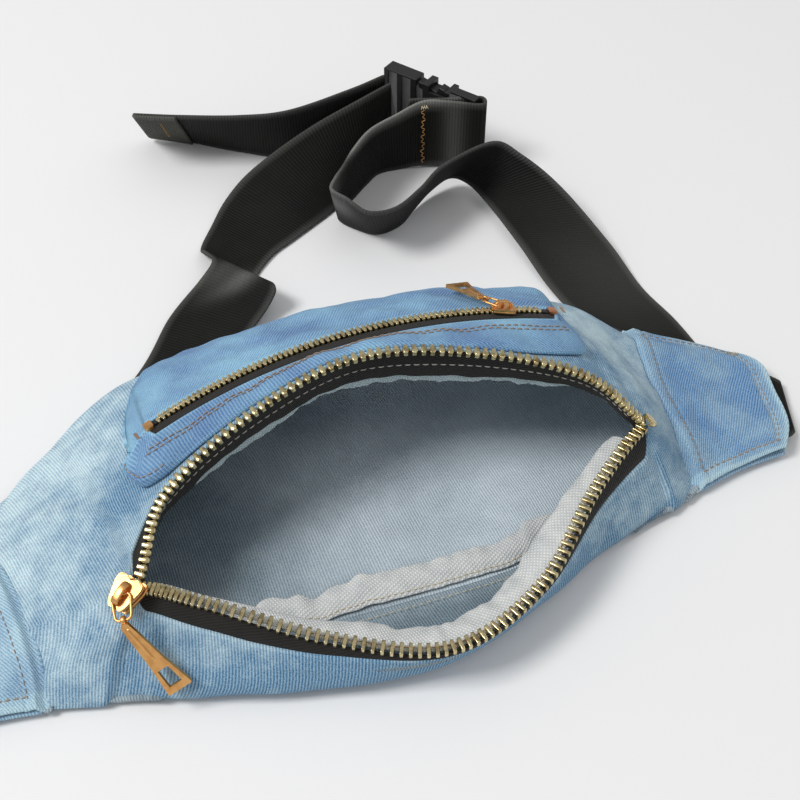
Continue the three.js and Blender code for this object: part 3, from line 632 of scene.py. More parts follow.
belt_right, right_path, right_length = strap(
    "belt_right_web", right_inner, right_outer, 560, right_fuzz_and_sheen, replaces=["belt_right"], slot="webbing")
belt_left, left_path, left_length = strap(
    "belt_left_web", left_outer, left_inner, 460, left_crest_sheen, replaces=["belt_left"], slot="webbing")
belt_tail, _, _ = strap(
    "belt_tail_web", tail_top, tail_foot, 160, replaces=["belt_tail"], slot="webbing")
tack_line = np.linspace(vec(98.3, 172.2, 5), vec(98.6, 172.2, 34), 120)
tack_line[:, 0] += 0.35 * np.sin(np.arange(120) * 0.21)
bartack = stitches("belt_bartack_thread", tack_line, np.tile(vec(-0.36, -0.93, 0), (120, 1)), THREAD_ORANGE, 1.35, 1.3,
                   0.26, 0.75, lift=0.15, replaces=["belt_bartack"])
tack_knot = stitches("belt_bartack_knot", np.linspace(vec(97.6, 172.0, 34.6), vec(100.2, 171.2, 34.9), 12),
                     np.tile(vec(-0.3, -0.8, 0.5), (12, 1)), THREAD_CREAM, 0.5, 0.9, 0.34, 0.8, lift=0.2)


def hem_fold(u):
    """The hem starts level with the tail's end and lies in front of it from there on."""
    return smooth(-0.12, 0.12, u)[..., None]


HEM_FRONT = unit(vec(-0.35, -0.75, 0.05)) * 1.7
hem_top = lambda u: tail_top(1.005 - 0.19 * np.asarray(u))
hem_foot = lambda u: tail_foot(1.005 - 0.23 * np.asarray(u))
hem, _, _ = strap(
    "belt_hem_web", lambda u: hem_top(u) + HEM_FRONT * hem_fold(u), lambda u: hem_foot(u) + HEM_FRONT * hem_fold(u),
    60, material=WEBBING_HEM, replaces=["belt_hem"], slot="webbing")
hem_u = np.full(40, 0.62)
hem_v = np.linspace(0.2, 0.8, 40)[:, None]
hem_tack = stitches(
    "belt_hem_thread",
    mix(hem_top(hem_u), hem_foot(hem_u), hem_v) + HEM_FRONT * 1.45,
    np.tile(HEM_FRONT, (40, 1)), THREAD_ORANGE, 1.5, 1.2, 0.26, 0.6, lift=0.1)

BUCKLE = ("buckle_male", "buckle_prong_upper", "buckle_prong_lower")

# ---- the bag's skin ----
far_lip = curve([
    [-118.3, -18, 14.5], [-84.7, -26.7, 30], [-66, -5, 43.5], [-31, 7.3, 57], [8, 11.5, 64.5],
    [47, -0.3, 63], [81, -15.5, 53], [101, -28, 32], [118.2, -25, 14.5],
])
front_upper = curve([
    [-119.5, 3, 15.8], [-90, 10, 30], [-64, 17.5, 43], [-25, 24, 51], [10, 25, 53],
    [45, 19.5, 53.5], [82, 13, 48.5], [104, 5, 33], [121, -1, 15.5],
])
front_lower = curve([
    [-127.5, 23.5, 13.4], [-99, 47, 17], [-68, 62.5, 27.5], [-30, 64, 31], [5, 63, 33.5],
    [48, 55.5, 36], [87, 48, 31], [107, 43, 24], [128, 24, 14],
])
far_foot = curve([
    [-132, 36.5, 3.2], [-103, 54, 3.2], [-69, 73, 3.2], [-31, 77, 3.2], [5, 77, 3.2],
    [48, 71, 3.2], [88, 61, 3.2], [111, 51, 3.2], [133, 37.5, 3.2],
])
near_lip = curve([
    [-118.3, -18.6, 14.1], [-84.7, -27.5, 29.6], [-64.3, -40.1, 29], [-31, -63, 22.5],
    [5, -80, 21.5], [40.7, -70.3, 23], [72, -46, 29], [101, -28.8, 31.6], [118.2, -25.6, 14.1],
])
near_wall = curve([
    [-118.5, -33, 8.5], [-94, -42.5, 15], [-69, -57.5, 14], [-35, -72.5, 12], [5, -80.6, 11],
    [43, -71, 12], [76.5, -53.5, 14], [104.5, -44, 13], [118.6, -35, 8.5],
])
near_foot = curve([
    [-118.7, -42.8, 3.4], [-97.9, -48.5, 2.4], [-75.3, -57, 1.8], [-36, -68.5, 1.7],
    [5, -73.5, 1.7], [44, -65, 1.7], [77.5, -54, 1.8], [103, -49, 2.4], [118.9, -42.4, 3.4],
])
back_seam = curve([
    [-118.6, -37, 2.6], [-97, -37, 1.2], [-72, -39.5, 0.2], [-36, -43.5, 0.05],
    [5, -46.5, 0.05], [44, -47.5, 0.05], [78, -42, 0.2], [103, -38, 1.2], [118.8, -36.5, 2.6],
])
MOUTH = (0.13, 0.87)  # u where the open mouth starts and ends
MOUTH_FADE = 0.03


def skin(lines, u, v):
    u, v = np.broadcast_arrays(np.asarray(u, float), np.asarray(v, float))
    return through([line(u.ravel()) for line in lines], v.ravel()).reshape(*u.shape, 3)


def front_skin(u, v):
    return skin((far_lip, front_upper, front_lower, far_foot), u, v)


def near_skin(u, v):
    return skin((near_lip, near_wall, near_foot, back_seam), u, v)


def front_normal(u, v):
    e = 2e-3
    du = front_skin(np.minimum(1, u + e), v) - front_skin(np.maximum(0, u - e), v)
    dv = front_skin(u, np.minimum(1, v + e)) - front_skin(u, np.maximum(0, v - e))
    return unit(np.cross(du, dv))


def lifted(u, v, height):
    u, v, height = np.broadcast_arrays(np.asarray(u, float), np.asarray(v, float), np.asarray(height, float))
    return front_skin(u, v) + front_normal(u, v) * height[..., None]


def end_zone(u):
    """1 in the two closed ends of the bag, where the cloth runs over the top without an opening."""
    start, end = MOUTH
    return 1 - smooth(start - 0.004, start + MOUTH_FADE, u) * (1 - smooth(end - MOUTH_FADE, end + 0.004, u))


def skin_rows(u, w, far):
    """The whole skin: w runs 0..3 from the far foot to the far lip, and 3..6 from the near lip to the back seam."""
    u, w = np.broadcast_arrays(u, w)
    shape, uf, wf = u.shape, u.ravel(), w.ravel()
    middle = (far_lip(uf) + near_lip(uf)) / 2
    seven = [c(uf) for c in (far_foot, front_lower, front_upper)] + [middle] + [
        c(uf) for c in (near_wall, near_foot, back_seam)]
    closed = through(seven, wf / 6)
    if far:
        opened = through([c(uf) for c in (far_foot, front_lower, front_upper, far_lip)], wf / 3)
    else:
        opened = through([c(uf) for c in (near_lip, near_wall, near_foot, back_seam)], (wf - 3) / 3)
    k = end_zone(uf)[:, None]
    return mix(opened, closed, k).reshape(*shape, 3)


HEM_STEPS = 5


def rolled_edge(grid, normals, radius):
    """Rows that turn the last column of the grid under and back, as a folded hem. radius is per row."""
    n = normals[:, -1]
    out = unit(grid[:, -1] - grid[:, -3])
    out = unit(out - n * (out * n).sum(-1, keepdims=True))
    r = radius[:, None]
    rows = []
    for k in range(1, HEM_STEPS + 1):
        a = math.pi * k / HEM_STEPS
        rows.append(grid[:, -1] + out * r * math.sin(a) - n * r * (1 - math.cos(a)))
    for k in range(1, 3):
        rows.append(rows[HEM_STEPS - 1] - out * 2.0 * k * r - n * 0.1 * k)
    return np.stack(rows, axis=1)


def ridge(p, a, b, width, height):
    """A soft fold from a to b."""
    a, b = np.array(a, float), np.array(b, float)
    d = b - a
    t = np.clip(((p - a) @ d) / (d @ d), 0, 1)
    near = np.linalg.norm(p - (a + t[..., None] * d), axis=-1)
    taper = np.sin(np.pi * np.clip(0.12 + 0.76 * t, 0, 1))
    return height * taper * np.exp(-((near / width) ** 2))


FOLDS = [  # from, to, width, height: a groove is negative
    ((-112, 20, 16), (-84, 2, 34), 5, 1.3),
    ((-108, 30, 14), (-84, 14, 32), 4, -1.0),
    ((-110, -8, 20), (-92, -14, 28), 5, 1.0),
    ((-102, -34, 12), (-88, -34, 24), 4, 1.1),
    ((-112, -30, 11), (-94, -26, 22), 3.5, -0.9),
    ((-64, -48, 22), (-20, -70, 17), 4.5, 1.2),
    ((-70, -52, 16), (-30, -73, 11), 4.0, -1.0),
    ((40, -72, 18), (88, -50, 22), 4, 1.1),
    ((44, -73, 12), (92, -50, 13), 4, -1.0),
    ((98, -20, 30), (110, 10, 26), 4, 1.0),
    ((106, -34, 16), (112, 6, 22), 3, -0.8),
    ((92, 4, 42), (112, 16, 24), 5, 1.0),
]


def wrinkles(p):
    h = 0.45 * waves(p, 46, 3) + 0.22 * waves(p, 21, 4)
    for fold in FOLDS:
        h += ridge(p, *fold)
    return h


def tuck_line(u, w):
    """How far each point is from the line where the near panel's side edges are sewn in."""
    left = u + 0.012 * (w - 4) - 0.121
    right = 0.879 - (u - 0.012 * (w - 4))
    inside = smooth(3.05, 3.4, w) * (1 - smooth(5.4, 5.9, w))
    return mix(1.0, np.where(np.abs(left) < np.abs(right), left, right), inside)


def tuck(u, w):
    """The near panel's two side edges sit behind the cloth that comes down from the ends."""
    left = smooth(0.118, 0.136, u + 0.012 * (w - 4))
    right = 1 - smooth(0.866, 0.882, u - 0.012 * (w - 4))
    return -2.0 * left * right * smooth(3.05, 3.9, w) * (1 - smooth(5.2, 6.0, w))


BLOTCHES = [  # centre, radius, change: pale is positive
    ((-122, 4, 15), 26, 0.5), ((-104, 40, 15), 24, 0.45), ((-100, -8, 24), 11, 0.15), ((-80, 6, 36), 14, -0.38),
    ((-92, -6, 28), 10, -0.22), ((-72, 36, 36), 13, 0.3), ((-84, 28, 30), 13, 0.3), ((-92, -28, 20), 9, 0.1),
    ((-108, -34, 10), 11, 0.3), ((-62, 66, 20), 22, 0.45), ((-20, 66, 26), 30, 0.15), ((-40, 12, 52), 16, -0.1),
    ((104, 10, 30), 16, 0.25), ((112, -14, 20), 12, 0.3), ((98, 34, 30), 16, 0.42), ((110, -38, 10), 10, 0.25),
    ((120, 14, 14), 12, 0.25), ((-72, -56, 14), 8, 0.25), ((-30, -74, 10), 18, -0.25), ((-78, -50, 8), 12, -0.15),
    ((10, -80, 8), 18, -0.2), ((104, -34, 20), 14, -0.3), ((-118, -34, 8), 12, -0.2), ((100, 24, 36), 16, 0.25),
]


def body_wash_and_shade(p):
    wash_and_painted_light = np.full(p.shape[:-1], 0.3)
    for centre, radius, change in BLOTCHES:
        wash_and_painted_light += change * blob(p, centre, radius)
    # painted shade: the near side, low down, is darkened where it faces away from the key light; the blotches above are
    # the cloth's own wash
    return wash_and_painted_light - 0.4 * (1 - smooth(-62, -44, p[..., 1])) * (1 - 0.6 * smooth(10, 24, p[..., 2]))


def under_pocket(u, w):
    """1 where the pocket lies on the front panel, so that the cloth below it stays flat."""
    low_end = np.interp(u, [0.18, 0.26, 0.36, 0.5, 0.6, 0.82], [1.15, 0.95, 0.6, 0.36, 0.3, 0.3])
    return smooth(0.172, 0.2, u) * (1 - smooth(0.8, 0.828, u)) * smooth(-0.2, 0, w - low_end)


def under_tape(u, w):
    """1 below the near teeth, where the tape shows above the denim's folded edge."""
    return opening_at(u) * (1 - smooth(3.3, 3.8, w))


def opening_at(u):
    """1 along the open mouth, 0 in both closed ends."""
    start, end = MOUTH
    return smooth(start, start + MOUTH_FADE, u) * (1 - smooth(end - MOUTH_FADE, end, u))


def near_gap(u):
    """How far below the near teeth the folded denim starts, as a share of the lip-to-wall height."""
    return opening_at(u) * np.interp(u, [0.13, 0.2, 0.3, 0.45, 0.58, 0.7, 0.87],
                                     [0.25, 0.3, 0.36, 0.3, 0.3, 0.38, 0.38])


def far_gap(u):
    return opening_at(u) * mix(0.2, 0.012, smooth(0.165, 0.28, u))


def body_cloth():
    ends, span = 38, 260
    us = np.concatenate([
        np.linspace(0, MOUTH[0], ends), np.linspace(*MOUTH, span)[1:], np.linspace(MOUTH[1], 1, ends)[1:]])
    first, last = ends - 1, ends + span - 2
    opening = opening_at(us)
    hemmed = slice(first, last + 1)
    verts, faces, uvs, wash_and_shade_values, seam_ids = [], [], [], [], []
    count = 0
    for far, rows in ((True, 110), (False, 76)):
        t = np.linspace(0, 1, rows)
        w = (3 - far_gap(us))[:, None] * t if far else 6 - (3 - near_gap(us))[:, None] * t
        u = np.repeat(us[:, None], rows, axis=1)
        g = skin_rows(u, w, far)
        n = grid_normals(g) * (-1 if far else 1)
        h = wrinkles(g) - 0.5
        h = mix(h, -1.0, under_pocket(u, w)) if far else mix(h, -0.3, under_tape(u, w)) + tuck(u, w)
        calm = smooth(0, 0.07, t)[None, :] * (1 - 0.85 * smooth(0.93, 1, t)[None, :] * opening[:, None])
        g = g + n * (h * calm)[..., None]
        g[..., 2] = np.maximum(g[..., 2], 0.3)
        n = grid_normals(g) * (-1 if far else 1)
        uv = arc_uv(g)
        if not far:
            uv[..., 1] = 240 - uv[..., 1]
        edge = smooth(0.985, 1, t)[None, :] * opening[:, None]
        # painted shade: a narrow dark line on the near panel along the tuck, where it sits behind the end cloth
        wash_and_painted_light = body_wash_and_shade(g) + 0.16 * edge - (0 if far else 0.55 * np.exp(-(tuck_line(u, w) / 0.0035) ** 2))
        hem = rolled_edge(g[hemmed], n[hemmed], 0.12 + (0.55 if far else 0.9) * opening[hemmed])
        m = hem.shape[1]
        ids = np.arange(g.shape[0] * rows).reshape(-1, rows)[:, -1] + count
        hem_ids = np.arange(hem.shape[0] * m).reshape(-1, m) + count + g.shape[0] * rows
        full = np.hstack([ids[hemmed, None], hem_ids])
        quads = np.vstack([
            grid_faces(g.shape[0], rows) + count,
            np.stack([full[:-1, :-1], full[1:, :-1], full[1:, 1:], full[:-1, 1:]], axis=-1).reshape(-1, 4)])
        faces.append(quads[:, ::-1] if far else quads)
        verts += [g.reshape(-1, 3), hem.reshape(-1, 3)]
        beyond = np.stack([np.zeros(m), np.arange(1, m + 1) * 0.8], axis=-1)
        uvs += [uv.reshape(-1, 2), (uv[hemmed, -1:] + beyond[None]).reshape(-1, 2)]
        wash_and_shade_values += [wash_and_painted_light.reshape(-1), np.repeat(wash_and_painted_light[hemmed, -1:], m, axis=1).reshape(-1)]
        seam_ids.append(ids)
        count += g.shape[0] * rows + hem.shape[0] * m
    verts, faces, uvs, wash_and_shade_values = np.vstack(verts), np.vstack(faces), np.vstack(uvs), np.concatenate(wash_and_shade_values)
    closed = np.concatenate([np.arange(first + 1), np.arange(last, len(us))])
    one, two = seam_ids[0][closed], seam_ids[1][closed]
    verts[one] = (verts[one] + verts[two]) / 2
    remap = np.arange(len(verts))
    remap[two] = one
    me = raw_mesh("body_cloth", verts, remap[faces], None, {"wash_and_painted_light": wash_and_shade_values})
    layer = me.uv_layers.new(name="cloth")
    layer.data.foreach_set("uv", uvs[faces.ravel()].astype(np.float32).ravel())
    obj = place("body_cloth", me, [DENIM, LINING], replaces=["front_panel", "near_panel"], slot="denim")
    bm = bmesh.new()
    bm.from_mesh(me)
    bmesh.ops.delete(bm, geom=[v for v in bm.verts if not v.link_faces], context="VERTS")
    bm.to_mesh(me)
    bm.free()
    solid = obj.modifiers.new("cloth", "SOLIDIFY")
    solid.thickness = 1.1 * MM
    solid.offset = -1
    solid.material_offset = 1
    solid.use_even_offset = False


body_cloth()

# ---- back panel and what is seen of the inside ----
BELT_EDGE = (-138, -9, 0.595, -0.804)  # a point on the hidden strap's edge, and the direction away from it


def back_rise(x, y):
    inside = (x - BELT_EDGE[0]) * BELT_EDGE[2] + (y - BELT_EDGE[1]) * BELT_EDGE[3]
    return 2.5 * (1 - smooth(4, 34, inside))


def back_cloth():
    u, v = lattice(230, 120)
    uu = 0.01 + 0.98 * u
    near = back_seam(uu[:, 0]) + vec(0, 0.45, 0)
    far = far_foot(uu[:, 0])
    far = far + np.stack([0 * far[:, 0], -4 - 3 * smooth(0.7, 1, np.abs(2 * uu[:, 0] - 1)), 0 * far[:, 0]], axis=-1)
    middle = front_upper(uu[:, 0])
    k = u.shape[1]
    rep = lambda a: np.repeat(a, k, axis=0)
    g = through([rep(near), rep(middle), rep(far)], v.ravel()).reshape(*u.shape, 3)
    rim = np.maximum(smooth(0.72, 1, v), smooth(0.84, 1, np.abs(2 * uu - 1)))
    low = np.maximum.reduce([
        rim * 2.9, np.repeat(near[:, 2:3], k, axis=1) * (1 - smooth(0, 0.2, v)), back_rise(g[..., 0], g[..., 1])])
    g[..., 2] = low + 1.4 + (0.5 + 0.5 * waves(g, 55, 11)) * 1.1 * smooth(0.02, 0.2, v)
    # painted shade: the inside is darker toward the left, where the bag's left end shades it; the waves add random tone
    wash_and_painted_light = 0.12 + 0.8 * smooth(-75, 45, g[..., 0]) + 0.1 * waves(g, 60, 12)
    sheet_object("back_cloth", g, 1.3, LINING, wash_and_painted_light=wash_and_painted_light, facing=UP, replaces=["back_panel"], slot="denim")


back_cloth()


# ---- main zip ----
ZIP_START, ZIP_END = 0.135, 0.865  # u of the main zip's two ends
MAIN_TEETH, POCKET_TEETH = 80, 74  # on each side


def mouth(u):
    return ZIP_START + 0.012 + (ZIP_END - ZIP_START - 0.024) * np.asarray(u, float)


def mouthward(line, u):
    e = 2e-3
    along = line(np.minimum(1, u + e)) - line(np.maximum(0, u - e))
    along[..., 2] = 0
    along = unit(along)
    return np.stack([along[..., 1], -along[..., 0], 0 * along[..., 0]], axis=-1)


def far_in(u):
    return mouthward(far_lip, mouth(u))


def near_in(u):
    return -mouthward(near_lip, mouth(u))


def far_teeth_line(u):
    return far_lip(mouth(u)) + vec(0, 0, -0.4)


def near_teeth_line(u):
    return near_lip(mouth(u)) + vec(0, 0, 0.2)


def taken(bm):
    """The points and faces of a bmesh, which is freed."""
    verts = np.array([v.co[:] for v in bm.verts])
    faces = [[v.index for v in f.verts] for f in bm.faces]
    bm.free()
    return verts, faces


def tooth_shape(width, reach, height, root, head):
    """One brass tooth: legs clamped on the tape, a waist, and a rounded head."""
    bm = bmesh.new()
    bmesh.ops.create_cube(bm, size=1)
    bmesh.ops.subdivide_edges(bm, edges=[e for e in bm.edges if abs(e.verts[0].co.y - e.verts[1].co.y) > 0.5],
                              cuts=3, use_grid_fill=True)
    for v in bm.verts:
        t = v.co.y + 0.5
        v.co.x *= width * (1.0 if t < 0.3 else (0.86 if t < 0.6 else head))
        v.co.z *= height * (1.0 if t < 0.6 else 0.94)
        v.co.y = root + t * (reach - root)
    bmesh.ops.bevel(bm, geom=[e for e in bm.edges if e.calc_face_angle(0) > 0.6], offset=width * 0.26, segments=2,
                    profile=0.6, affect="EDGES")
    bmesh.ops.triangulate(bm, faces=[f for f in bm.faces if len(f.verts) > 4])
    return taken(bm)


def row_of_teeth(name, line, inward, ups, count, shape, jitter, seed, replaces):
    """Teeth set evenly along a line, each leaning a little at random."""
    verts, faces = shape
    u = (np.arange(count) + 0.5) / count
    e = 1e-3
    origin, x = line(u), unit(line(np.minimum(1, u + e)) - line(np.maximum(0, u - e)))
    y = inward(u)
    z = ups(u)
    y = unit(y - x * (x * y).sum(-1, keepdims=True))
    z = unit(z - x * (x * z).sum(-1, keepdims=True) - y * (z * y).sum(-1, keepdims=True))
    rng = np.random.default_rng(seed)
    lean = rng.uniform(-jitter, jitter, (count, 1))
    x, y = unit(x + y * lean), unit(y - x * lean)
    world_verts = origin[:, None] + verts[None, :, 0:1] * x[:, None] + verts[None, :, 1:2] * y[:, None] + \
        verts[None, :, 2:3] * z[:, None]
    all_faces = [[i + k * len(verts) for i in f] for k in range(count) for f in faces]
    place(name, loose_mesh(name, world_verts.reshape(-1, 3), all_faces), BRASS, replaces=replaces, slot="brass")


def steady_up(u):
    return np.broadcast_to(vec(0, 0, 1), (len(np.asarray(u)), 3))


row_of_teeth("teeth_far", lambda u: far_teeth_line(mix(-0.012, 1.012, u)), lambda u: far_in(mix(-0.012, 1.012, u)),
             steady_up, MAIN_TEETH, tooth_shape(1.4, 3.1, 2.2, -0.5, 1.14), 0.05, 21, ["main_teeth_far"])
row_of_teeth("teeth_near", lambda u: near_teeth_line(mix(0.0, 1.012, u)), lambda u: near_in(mix(0.0, 1.012, u)),
             steady_up, MAIN_TEETH, tooth_shape(1.2, 3.2, 2.2, -1.3, 1.08), 0.05, 22, ["main_teeth_near"])


def along_mouth(u, v=0.0):
    """Rough cloth coordinates along a lip, for random folds."""
    return np.stack([u * 220, v * 8 + 0 * u, 0 * u], axis=-1)


def main_tapes():
    u, v = lattice(220, 14)
    m = -0.01 + 1.02 * u
    hang = 3.2 + 7.0 * np.sin(math.pi * u) ** 0.7
    rag = 0.3 * waves(along_mouth(u), 9, 5) * smooth(0.7, 1, v)
    sway = 0.5 * waves(along_mouth(u, v), 45, 9)
    g = far_teeth_line(m) + far_in(m) * (0.75 + 0.3 * v + sway * v)[..., None]
    g[..., 2] -= 1.2 + v * hang + rag
    inward = far_in(np.array([0.5]))[0] + vec(0, 0, 0.001)
    sheet_object("tape_far", g, 0.7, TAPE, facing=inward, replaces=["main_tape_far"], slot="tape")
    rows = np.linspace(8, 211, 400)
    stitches("tape_far_thread", grid_line(g, rows, 7.0), far_in(-0.01 + 1.02 * rows / 219), THREAD_GREY,
             pitch=3.0, length=2.2, radius=0.2, lift=0.05)

    # the far panel's own seam allowance, frayed, showing below the tape
    u, v = lattice(420, 12, 0.04, 0.95)
    drop = 4.4 + 7.0 * np.sin(math.pi * u) ** 0.7
    line = along_mouth(u)
    fray = 3.4 + 1.3 * waves(line, 40, 6) + 0.4 * waves(line, 7, 7) + 0.14 * waves(line, 2.0, 8)
    fray *= (0.35 + 0.65 * smooth(0.1, 0.35, u)) * (1 - 0.7 * smooth(0.75, 0.9, u))
    sway = 0.5 * waves(along_mouth(u, v), 45, 9)
    g = far_teeth_line(u) + far_in(u) * (-0.1 + sway * (0.6 + 0.4 * v))[..., None]
    g[..., 2] -= drop - 2.2 + v * (2.2 + np.maximum(fray, 0.5))
    sheet_object("lip_allowance_far", g, 0.8, FRAY, facing=inward, slot="denim")

    # tape beside the near teeth, running down outside the lip to the folded denim
    u, v = lattice(240, 14)
    uu = mouth(-0.008 + 1.016 * u)
    top = (near_gap(uu) + 0.09) / 3
    g = near_skin(uu, 0.008 + (top - 0.008) * v)
    n = grid_normals(g)
    n = n * np.sign((n * vec(0, -1, 0.4)).sum(-1, keepdims=True))
    g = g + n * (0.3 - 2.3 * smooth(0.45, 1, v))[..., None]
    g[..., 2] -= 0.9 * (1 - v)
    sheet_object("tape_near", g, 0.7, TAPE, facing=(0, -1, 0.4), replaces=["main_tape_near"], slot="tape")

    # the strip of tape left of the far teeth, between them and the denim
    u, v = lattice(90, 10)
    uu = MOUTH[0] + 0.001 + (0.31 - MOUTH[0]) * u
    g = front_skin(uu, 0.004 + 0.085 * v)
    g = g + front_normal(uu, 0.004 + 0.085 * v) * (-0.4 - 1.0 * v)[..., None]
    sheet_object("tape_far_outer", g, 0.6, TAPE, facing=UP, slot="tape")


main_tapes()


def bindings():
    """Woven white ribbon on the inside of the near lip and over the back panel's seam."""
    u, v = lattice(420, 22)
    m = 0.03 + 0.94 * u
    line = along_mouth(u)
    full = smooth(0.12, 0.42, u) * (1 - 0.55 * smooth(0.72, 0.97, u))
    ruffle = waves(line, 24, 31) + 0.5 * waves(line, 9, 32)
    width = 3.4 + 7.6 * full + 0.4 * ruffle * full
    g = near_teeth_line(m) + near_in(m) * (1.7 + width * np.sin(1.25 * v) / math.sin(1.25))[..., None]
    g[..., 2] += -1.6 - (0.8 + 3.2 * full) * v**1.6 + 0.3 * ruffle * v * full
    g[..., 2] += 0.5 * np.sin(line[..., 0] * 2 * math.pi / 13 + 2 * v) * v * (1 - v) * full * 2
    sheet_object("lip_ribbon", g, 0.6, RIBBON, facing=UP, replaces=["lip_binding"], slot="ribbon")
    rows = np.linspace(120, 330, 500)
    stitches("lip_ribbon_thread", grid_line(g, rows, 1.6), grid_line(grid_normals(g), rows, 1.6) * 1.0,
             THREAD_ORANGE, 2.3, 2.1, 0.16, lift=0.1)

    u, v = lattice(360, 20)
    seam = back_seam(0.24 + 0.52 * u)
    line = along_mouth(u)
    ruffle = waves(line, 26, 33) + 0.4 * waves(line, 9, 34)
    g = seam + np.stack([0 * u, 1.2 + (9.6 + 0.5 * ruffle) * v + 0.3 * ruffle, 0 * u], axis=-1)
    g[..., 2] = 3.0 + 1.6 * np.sin(2.4 * v) + 0.9 * v + 0.35 * ruffle * (0.3 + v)
    sheet_object("seam_ribbon", g, 0.6, RIBBON, facing=UP, replaces=["seam_binding"], slot="ribbon")
    n = grid_normals(g)
    n = n * np.sign(n[..., 2:3])
    rows = np.linspace(4, 355, 600)
    stitches("seam_ribbon_thread", grid_line(g, rows, 2.2), grid_line(n, rows, 2.2), THREAD_CREAM, 2.3, 1.8, 0.2,
             lift=0.05)
    rows = np.linspace(30, 330, 500)
    below = back_seam(0.24 + 0.52 * rows / 359) + vec(0, -3.2, 2.6)
    stitches("seam_thread", below, np.tile(vec(0, 0.3, 1), (500, 1)), THREAD_CREAM, 2.6, 1.7, 0.16, lift=0.0)


bindings()


# ---- pocket ----
# The slider's arc: its middle, its directions there and its radius, as in the pocket_zip_travel joint.
track_mid = vec(10, 26.5, 57.9)
track_along = unit(vec(0.999, -0.0308, 0.0342))
track_out = vec(0, 0.806, 0.592)
track_out = unit(track_out - track_along * (track_out @ track_along))
TRACK_RADIUS = 231
track_axis = unit(np.cross(track_along, track_out))
track_centre = track_mid - track_out * TRACK_RADIUS
track_up = vec(0, 0.342, 0.94)
track_up = unit(track_up - track_along * (track_up @ track_along))
track_side = unit(np.cross(track_up, track_along))
ZIP_LEFT, ZIP_RIGHT = 18.3, -18.3  # the pocket zip's ends, in degrees along the arc


def turn(v, degrees):
    """Rotate vectors about the track's axis, one angle each."""
    v, a = np.asarray(v, float), np.radians(np.asarray(degrees, float))[..., None]
    v = np.broadcast_to(v, (*a.shape[:-1], 3))
    dot = (v * track_axis).sum(-1, keepdims=True)
    return v * np.cos(a) + np.cross(track_axis, v) * np.sin(a) + track_axis * dot * (1 - np.cos(a))


def on_track(degrees, across, height):
    degrees, across, height = np.broadcast_arrays(*(np.asarray(x, float) for x in (degrees, across, height)))
    p = track_mid - track_centre + track_side * across[..., None] + track_up * height[..., None]
    return turn(p, degrees) + track_centre


# Where the pocket lies on the front: u of its two ends at the zip, along its lower edge and along
# its upper edge, and u of the zip's own two ends.
POCKET_AT_ZIP, POCKET_LOW, POCKET_HIGH = (0.224, 0.772), (0.186, 0.806), (0.243, 0.80)
ZIP_U = (0.252, 0.752)
SLIT = 6.4  # half the gap between the pocket's two cloths


